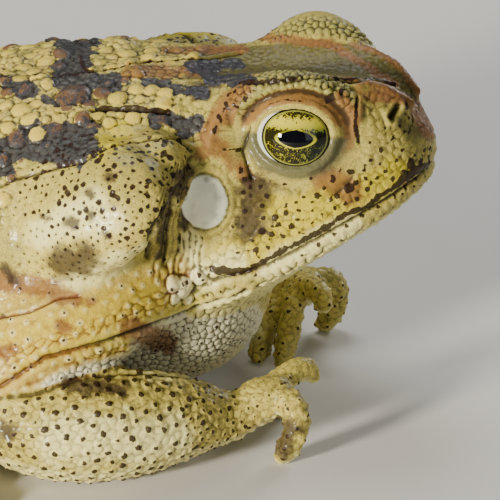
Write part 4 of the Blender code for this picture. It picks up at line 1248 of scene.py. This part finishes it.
for name, values in PIGMENTS_AND_SHADE.items():
    keep(skin, name, values)
keep(skin, "near", near)
print(len(PIGMENTS_AND_SHADE), "pigments stored")

# %% Thin the net
MOST_TRIANGLES = 196000
UNSEEN_TRIANGLES = 58000       # how many of them go to the skin that the camera doesn't see


def thin(mask, left):
    """Thins the part of the skin in this mask alone, until the whole skin has so many triangles left."""
    group = skin.vertex_groups.new(name="thinned")
    group.add([int(index) for index in np.flatnonzero(mask)], 1.0, "REPLACE")
    apply(skin, "DECIMATE", ratio=left / triangles(skin), vertex_group="thinned")
    skin.vertex_groups.remove(skin.vertex_groups["thinned"])


seen_triangles = triangles(skin) * float((near > 0.5).mean())
thin(near <= 0.5, seen_triangles + UNSEEN_TRIANGLES)
thin(kept(skin, "near") > 0.5, MOST_TRIANGLES)
print("thinned skin:", triangles(skin), "triangles")

# %% [markdown]
# ## How the skin is coloured
# Toad skin is a moist, slightly waxy sheet. Light goes a little way in, so it looks soft, and small
# glints sit on every wart. The material lays one pigment over another, from olive and yellow to bark
# brown, slate and black, and each one hides what lies below it. Among the layers are painted shade in
# the hollows, folds and dish, and painted light on the gland's low side. Their edges are roughened with
# fine noise, because pigment cells end raggedly.

# %% Helpers for materials
PER_MM = 1000.0                # object coordinates are in metres, so a pattern's scale is per metre
SHARE, UNDER, OVER, MIXED = 0, 6, 7, 2             # the colour sockets of a Mix node


def colour(code):
    """The linear colour of an sRGB hex value."""
    parts = [int(code[start : start + 2], 16) / 255 for start in (0, 2, 4)]
    return [part / 12.92 if part <= 0.04045 else ((part + 0.055) / 1.055) ** 2.4 for part in parts] + [1.0]


def add(tree, kind, inputs=(), output=0, **settings):
    """Adds a shader node with its settings, fills or links its inputs, and gives back one output."""
    node = tree.nodes.new("ShaderNode" + kind)
    for name, value in settings.items():
        setattr(node, name, value)
    for socket, value in inputs.items() if isinstance(inputs, dict) else enumerate(inputs):
        if isinstance(value, bpy.types.NodeSocket):
            tree.links.new(value, node.inputs[socket])
        else:
            node.inputs[socket].default_value = value
    return node.outputs[output] if node.outputs else None


def new_material(name):
    """An empty material, and the tree that its nodes go into."""
    made = bpy.data.materials.new(name)
    made.use_nodes = True
    made.node_tree.nodes.clear()
    return made, made.node_tree


print("mid grey is", round(colour("808080")[0], 3), "in linear light")

# %% Skin material
LAYERS = (                     # hex, pigment, roughness of its edge, where it begins and is full, strength
    ("787436", "olive", 0.0, 0.0, 1.0, 1.0),
    # the dish between the eyes: its own olive, darkened further by painted shade
    ("4E4A22", "dish", 0.3, 0.0, 0.9, 0.85),
    ("CCB81E", "sun", 0.6, 0.1, 0.9, 0.75),
    # pale skin, and painted light on the gland's low side
    ("E8DE92", "milk", 0.6, 0.1, 0.9, 0.9),
    ("D0A840", "flank", 0.0, 0.0, 1.0, 0.4),
    ("F0E6B4", "flank_tip", 0.0, 0.0, 1.0, 0.4),
    ("E6E2C4", "chest", 0.3, 0.0, 0.9, 0.7),
    ("DAC04A", "pale_wart", 0.3, 0.1, 0.8, 0.7),
    ("5C3A30", "dark_wart", 0.3, 0.1, 0.8, 0.9),
    ("8E8A48", "pad", 0.0, 0.0, 1.0, 0.7),
    ("865A30", "rust", 0.6, 0.1, 0.9, 0.85),
    ("33261F", "bark", 0.5, 0.05, 0.95, 0.87),
    ("34363E", "slate", 1.3, 0.3, 0.65, 0.95),
    ("5C5C42", "low_lid", 0.0, 0.0, 1.0, 0.9),
    ("EEE4B0", "pearl", 0.0, 0.0, 1.0, 0.8),
    ("FAFADC", "drum_face", 0.35, 0.05, 0.9, 0.97),
    ("9C9E84", "smudge", 0.5, 0.0, 1.0, 0.6),
    # painted shade in the flank's hollows, tinted rust
    ("7A3E18", "fold_shade_rust", 0.0, 0.0, 0.8, 0.75),
    # painted shade in the hollows
    ("221706", "groove", 0.0, 0.0, 1.0, 0.85),
)

CREAM = "CDBC5C"
EARTH = "6B5630"
CRACK_SHADE = "221706"
SPINE_BROWN = "261407"
DEEP_BLACK_AND_SHADOW = "241206"
NOISE_SIZES = (0.35, 0.9, 1.4)                     # millimetres across the grain of the colours
UNSEEN_GRANULE = 1.7           # millimetres from one drawn granule to the next on the unseen side
UNSEEN_SPINE = 3.0
WET_PATCH = 2.5                # millimetres across a moister patch
PIT = 0.3                      # millimetres across the finest pits, drawn coarser than the real ones to show
PIT_DEPTH = 0.22 * MM

# Moist skin: to the eye it is soft and dull, because light goes a little way in, with a small wet glint on
# each wart.
toad_skin, tree = new_material("moist toad skin")
here = add(tree, "TexCoord", output="Object")
fine, ragged_small, middling = (
    add(tree, "TexNoise", {"Vector": here, "Scale": PER_MM / size, "Detail": 3.0}) for size in NOISE_SIZES)
stored = {name: add(tree, "Attribute", output="Fac", attribute_name=name) for name in PIGMENTS_AND_SHADE}
print(len(stored), "pigments read from the skin's points")

# %% Lay one pigment over another, and the painted shade and light
# the edge of each wanders with two sizes of noise, so no two patches end alike
ragged = add(tree, "Math", (fine, 0.5, -0.7), operation="MULTIPLY_ADD")
ragged = add(tree, "Math", (middling, 0.9, ragged), operation="MULTIPLY_ADD")
mottle = add(tree, "Math", (middling, 0.4), operation="MULTIPLY")
mottle = add(tree, "Math", (fine, 0.6, mottle), operation="MULTIPLY_ADD")
mottle = add(tree, "MapRange", (mottle, 0.4, 0.62, 0.0, 0.45), interpolation_type="SMOOTHSTEP")
paint = add(tree, "Mix", {SHARE: mottle, UNDER: colour(CREAM), OVER: colour(EARTH)}, MIXED, data_type="RGBA")
for code, pigment, roughness, begins, full, strength in LAYERS:
    level = add(tree, "Math", (ragged, roughness, stored[pigment]), operation="MULTIPLY_ADD")
    share = add(tree, "MapRange", (level, begins, full, 0.0, strength), interpolation_type="SMOOTHSTEP")
    paint = add(tree, "Mix", {SHARE: share, UNDER: paint, OVER: colour(code)}, MIXED, data_type="RGBA")
print(len(LAYERS), "layers of pigment")

# %% Granules and spines on the unseen side
# the side that the photograph doesn't show has them drawn by a cell pattern, where the net is coarse
granule = add(tree, "TexVoronoi", {"Vector": here, "Scale": PER_MM / UNSEEN_GRANULE})
spine = add(tree, "TexVoronoi", {"Vector": here, "Scale": PER_MM / UNSEEN_SPINE, "Randomness": 0.8})
# painted shade in the cracks between the drawn granules
crack = add(tree, "MapRange", (granule, 0.45, 0.8, 0.0, 0.45), interpolation_type="SMOOTHSTEP")
crack = add(tree, "Math", (crack, stored["unseen"]), operation="MULTIPLY")
paint = add(tree, "Mix", {SHARE: crack, UNDER: paint, OVER: colour(CRACK_SHADE)}, MIXED, data_type="RGBA")
spine_tip = add(tree, "MapRange", (spine, 0.17, 0.13), interpolation_type="SMOOTHSTEP")
spine_tip = add(tree, "Math", (spine_tip, stored["spiny"]), operation="MULTIPLY")
spine_colour = colour(SPINE_BROWN)
paint = add(tree, "Mix", {SHARE: spine_tip, UNDER: paint, OVER: spine_colour}, MIXED, data_type="RGBA")
print("granules", UNSEEN_GRANULE, "mm and spines", UNSEEN_SPINE, "mm apart on the unseen side")

# %% Black
# its edges are sharp but uneven, and it covers all other pigments; along crests and folds it is painted
# shadow
black = add(tree, "Math", (ragged_small, 0.9, -0.45), operation="MULTIPLY_ADD")
black = add(tree, "Math", (black, stored["black_and_shadow_depth"]), operation="ADD")
black = add(tree, "MapRange", (black, -0.07, 0.07, 0.0, 0.95), interpolation_type="SMOOTHSTEP")
paint = add(tree, "Mix", {SHARE: black, UNDER: paint, OVER: colour(DEEP_BLACK_AND_SHADOW)}, MIXED, data_type="RGBA")
print("black laid over", len(tree.nodes), "nodes of colour")

# %% Bump and wetness
# fine pits all over, and domes where the granules are drawn
pitted = add(tree, "TexNoise", {"Vector": here, "Scale": PER_MM / PIT, "Detail": 4.0})
pitted = add(tree, "Math", (pitted, 0.6, ragged_small), operation="MULTIPLY_ADD")
dome = add(tree, "MapRange", (granule, 0.0, 0.7, 1.3, 0.0), interpolation_type="SMOOTHSTEP")
pitted = add(tree, "Math", (dome, stored["unseen"], pitted), operation="MULTIPLY_ADD")
bump = add(tree, "Bump", {"Height": pitted, "Distance": PIT_DEPTH, "Strength": 0.8})
wetness = add(tree, "TexNoise", {"Vector": here, "Scale": PER_MM / WET_PATCH, "Detail": 3.0})
wet = add(tree, "MapRange", (wetness, 0.35, 0.7, 0.45, 0.65), interpolation_type="SMOOTHSTEP")
shader = add(tree, "BsdfPrincipled", {
    "Base Color": paint, "Roughness": wet, "Normal": bump, "Specular IOR Level": 0.16, "Coat Weight": 0.16,
    "Coat Roughness": 0.16, "Subsurface Weight": 0.12, "Subsurface Radius": (0.0012, 0.0006, 0.0003),
    "Subsurface Scale": 1.0})
add(tree, "OutputMaterial", {"Surface": shader})
skin.data.materials.clear()
skin.data.materials.append(toad_skin)
skin.data.shade_smooth()
print(len(tree.nodes), "nodes in the skin's material")

# %% [markdown]
# ## Eyes
# A toad's eye has a gold iris crossed by fine black veins, round a lens-shaped pupil that lies flat. A
# clear cornea covers it and gives the one sharp glint. Iris and pupil are drawn by distances measured on
# the ball itself, from the axis along which the eye looks.

# %% Eyes
PUPIL = (3.35, 1.75)           # half the width and half the height, in millimetres
IRIS = (6.4, 5.5)
LENS_POWER, ROUND_POWER = 1.35, 2.0                # below 2 an ellipse's ends are pointed

eyeballs = []
for side in SIDES:
    bpy.ops.mesh.primitive_uv_sphere_add(
        segments=96, ring_count=48, radius=EYE_RADIUS * MM, location=(0, 0, 0))
    ball = bpy.context.object
    ball.name = ball.data.name = "eyeball_" + side
    rows = places(ball) / MM
    axes = eye_axes(side)
    put(ball, (rows @ axes) * MM + np.array(middle("eye_" + side)))
    if np.linalg.det(axes) < 0:
        ball.data.flip_normals()
    keep(ball, "iris_along", rows[:, 0])
    keep(ball, "iris_up", rows[:, 1])
    ball.data.shade_smooth()
    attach(ball, "root")
    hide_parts("eye_" + side)
    eyeballs.append(ball)
print("eyes", [triangles(ball) for ball in eyeballs])

# %% Shapes of the iris
VEIN = 0.55                    # millimetres across a twist of the veins
VEIN_LEVEL = 0.46

# A gold iris under a wet cornea: to the eye it is dull gold and deep black, with one sharp glint.
gold_eye, tree = new_material("gold iris under a wet cornea")
along, up = (add(tree, "Attribute", output="Fac", attribute_name=name) for name in ("iris_along", "iris_up"))
flat = add(tree, "CombineXYZ", (along, up))

# 1 on the edge of an ellipse round the eye's axis, or of a lens with pointed ends
edges = []
for (width, height), power in ((PUPIL, LENS_POWER), (IRIS, ROUND_POWER)):
    total = 0.0
    for value, half, sharp in ((along, width, power), (up, height, ROUND_POWER)):
        share = add(tree, "Math", (value,), operation="ABSOLUTE")
        share = add(tree, "Math", (share, half), operation="DIVIDE")
        share = add(tree, "Math", (share, sharp), operation="POWER")
        total = add(tree, "Math", (share, total), operation="ADD")
    edges.append(total)
pupil, iris = edges

# veins are dark where a twisted noise falls below a level, which is highest beside the pupil and at the top
side_of_pupil = add(tree, "Math", (up,), operation="ABSOLUTE")
dark_share = VEIN_LEVEL
VEINED = ((up, 1.2, 2.6, 0.14, -0.14), (side_of_pupil, 0.2, 1.5, 0.22, 0.0), (up, 2.8, 5.0, 0.0, 0.26))
for measure in VEINED:
    part_of_it = add(tree, "MapRange", measure, interpolation_type="SMOOTHSTEP")
    dark_share = add(tree, "Math", (part_of_it, dark_share), operation="ADD")
veins = add(tree, "TexNoise", {"Vector": flat, "Scale": 1 / VEIN, "Detail": 4.0, "Distortion": 1.6})
veins = add(tree, "Math", (veins, dark_share), operation="SUBTRACT")

# %% Colours of the eye
GOLD = "A9A02C"
EYE_LAYERS = (                 # hex, then measures: each with two bounds and the share at either of them
    ("66752E", (along, -2.0, 4.5, 0.0, 1.0)),                                      # greener in front
    ("C9BE3A", (up, 1.2, 3.2, 0.0, 1.0), (up, 5.2, 4.2, 0.0, 1.0)),                # bright above
    ("0B0907", (veins, 0.02, -0.03, 0.0, 0.96)),                                   # veins
    ("BDBE30", (pupil, 1.0, 1.1, 0.0, 1.0), (pupil, 1.42, 1.24, 0.0, 1.0), (up, 1.2, -0.6, 0.3, 0.95)),
    ("05060B", (pupil, 1.06, 0.98, 0.0, 1.0)),                                     # the pupil in its ring
    ("8F9040", (iris, 0.88, 0.92, 0.0, 1.0), (iris, 1.0, 0.96, 0.0, 1.0)),         # the iris's edge
    ("0A0806", (iris, 0.97, 1.02, 0.0, 1.0)),                                      # dark round the iris
    ("D8DCD2", (iris, 1.06, 1.14, 0.0, 1.0), (along, -3.0, -5.0, 0.0, 1.0)),       # a sickle of white behind
)
look = colour(GOLD)
for code, *bounds in EYE_LAYERS:
    share = 1.0
    for measure in bounds:
        part_of_it = add(tree, "MapRange", measure, interpolation_type="SMOOTHSTEP")
        share = add(tree, "Math", (part_of_it, share), operation="MULTIPLY")
    look = add(tree, "Mix", {SHARE: share, UNDER: look, OVER: colour(code)}, MIXED, data_type="RGBA")
shader = add(tree, "BsdfPrincipled", {
    "Base Color": look, "Roughness": 0.5, "Specular IOR Level": 0.0, "Coat Weight": 1.0,
    "Coat Roughness": 0.02, "Coat IOR": 1.38})
add(tree, "OutputMaterial", {"Surface": shader})
for ball in eyeballs:
    ball.data.materials.append(gold_eye)
print(len(tree.nodes), "nodes in the eye's material")

# %% [markdown]
# ## Floor and light
# A pale, matt floor and soft studio light from the camera's left show the warts by their shadows, as
# raking light does on any rough surface.

# %% Floor
FLOOR_SIZE = 3                 # metres
PAPER, PAPER_SHADE = "D8D5CF", "CFCCC6"
PAPER_CLOUD = 60.0             # millimetres across the faint clouds in the paper

bpy.ops.mesh.primitive_plane_add(size=FLOOR_SIZE, location=(0, 0, 0))
floor = bpy.context.object
floor.name = floor.data.name = "floor"
# Matt paper: to the eye it is even and pale, gives back no glint, and shows soft shadows.
pale_floor, tree = new_material("pale matt paper")
here = add(tree, "TexCoord", output="Object")
cloudy = add(tree, "TexNoise", {"Vector": here, "Scale": PER_MM / PAPER_CLOUD, "Detail": 3.0})
sheets = {SHARE: cloudy, UNDER: colour(PAPER_SHADE), OVER: colour(PAPER)}
shade = add(tree, "Mix", sheets, MIXED, data_type="RGBA")
shader = add(tree, "BsdfPrincipled", {"Base Color": shade, "Roughness": 0.85})
add(tree, "OutputMaterial", {"Surface": shader})
floor.data.materials.append(pale_floor)
print("floor", FLOOR_SIZE, "m wide")

# %% Lights
LIGHTS = (                     # name, place from the toad in metres, watts, size in metres, tint
    ("key", (-0.45, -0.75, 0.19), 17.0, 0.13, "FFF8E8"),
    ("fill", (0.75, -0.55, 0.25), 1.2, 0.5, "EAF0FF"),
    ("back", (0.3, 0.8, 0.35), 4.0, 0.4, "FFFFFF"),
    ("top", (-0.2, 0.35, 0.8), 3.5, 0.4, "FFFFFF"),
)
SKY = "DDE3EA"
SKY_STRENGTH = 0.15


def soft_light(name, place, watts, size, tint):
    """A square soft box that faces the toad."""
    data = bpy.data.lights.new(name, "AREA")
    data.energy, data.size, data.color = watts, size, colour(tint)[:3]
    lamp = bpy.data.objects.new(name, data)
    bpy.context.scene.collection.objects.link(lamp)
    lamp.location = centre + Vector(place)
    lamp.rotation_euler = (-Vector(place)).to_track_quat("-Z", "Y").to_euler()


for row in LIGHTS:
    soft_light(*row)
world = bpy.data.worlds.new("studio")
bpy.context.scene.world = world
world.use_nodes = True
sky = world.node_tree.nodes["Background"]
sky.inputs["Color"].default_value = colour(SKY)
sky.inputs["Strength"].default_value = SKY_STRENGTH
print(len(LIGHTS), "lights")

# %% [markdown]
# ## Put the pieces in place
# The skin takes the place of every solid but the eyes. Nothing on the toad moves, so all of it rides the
# root.

# %% Ride and replace
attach(skin, "root")
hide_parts(*FLESH)
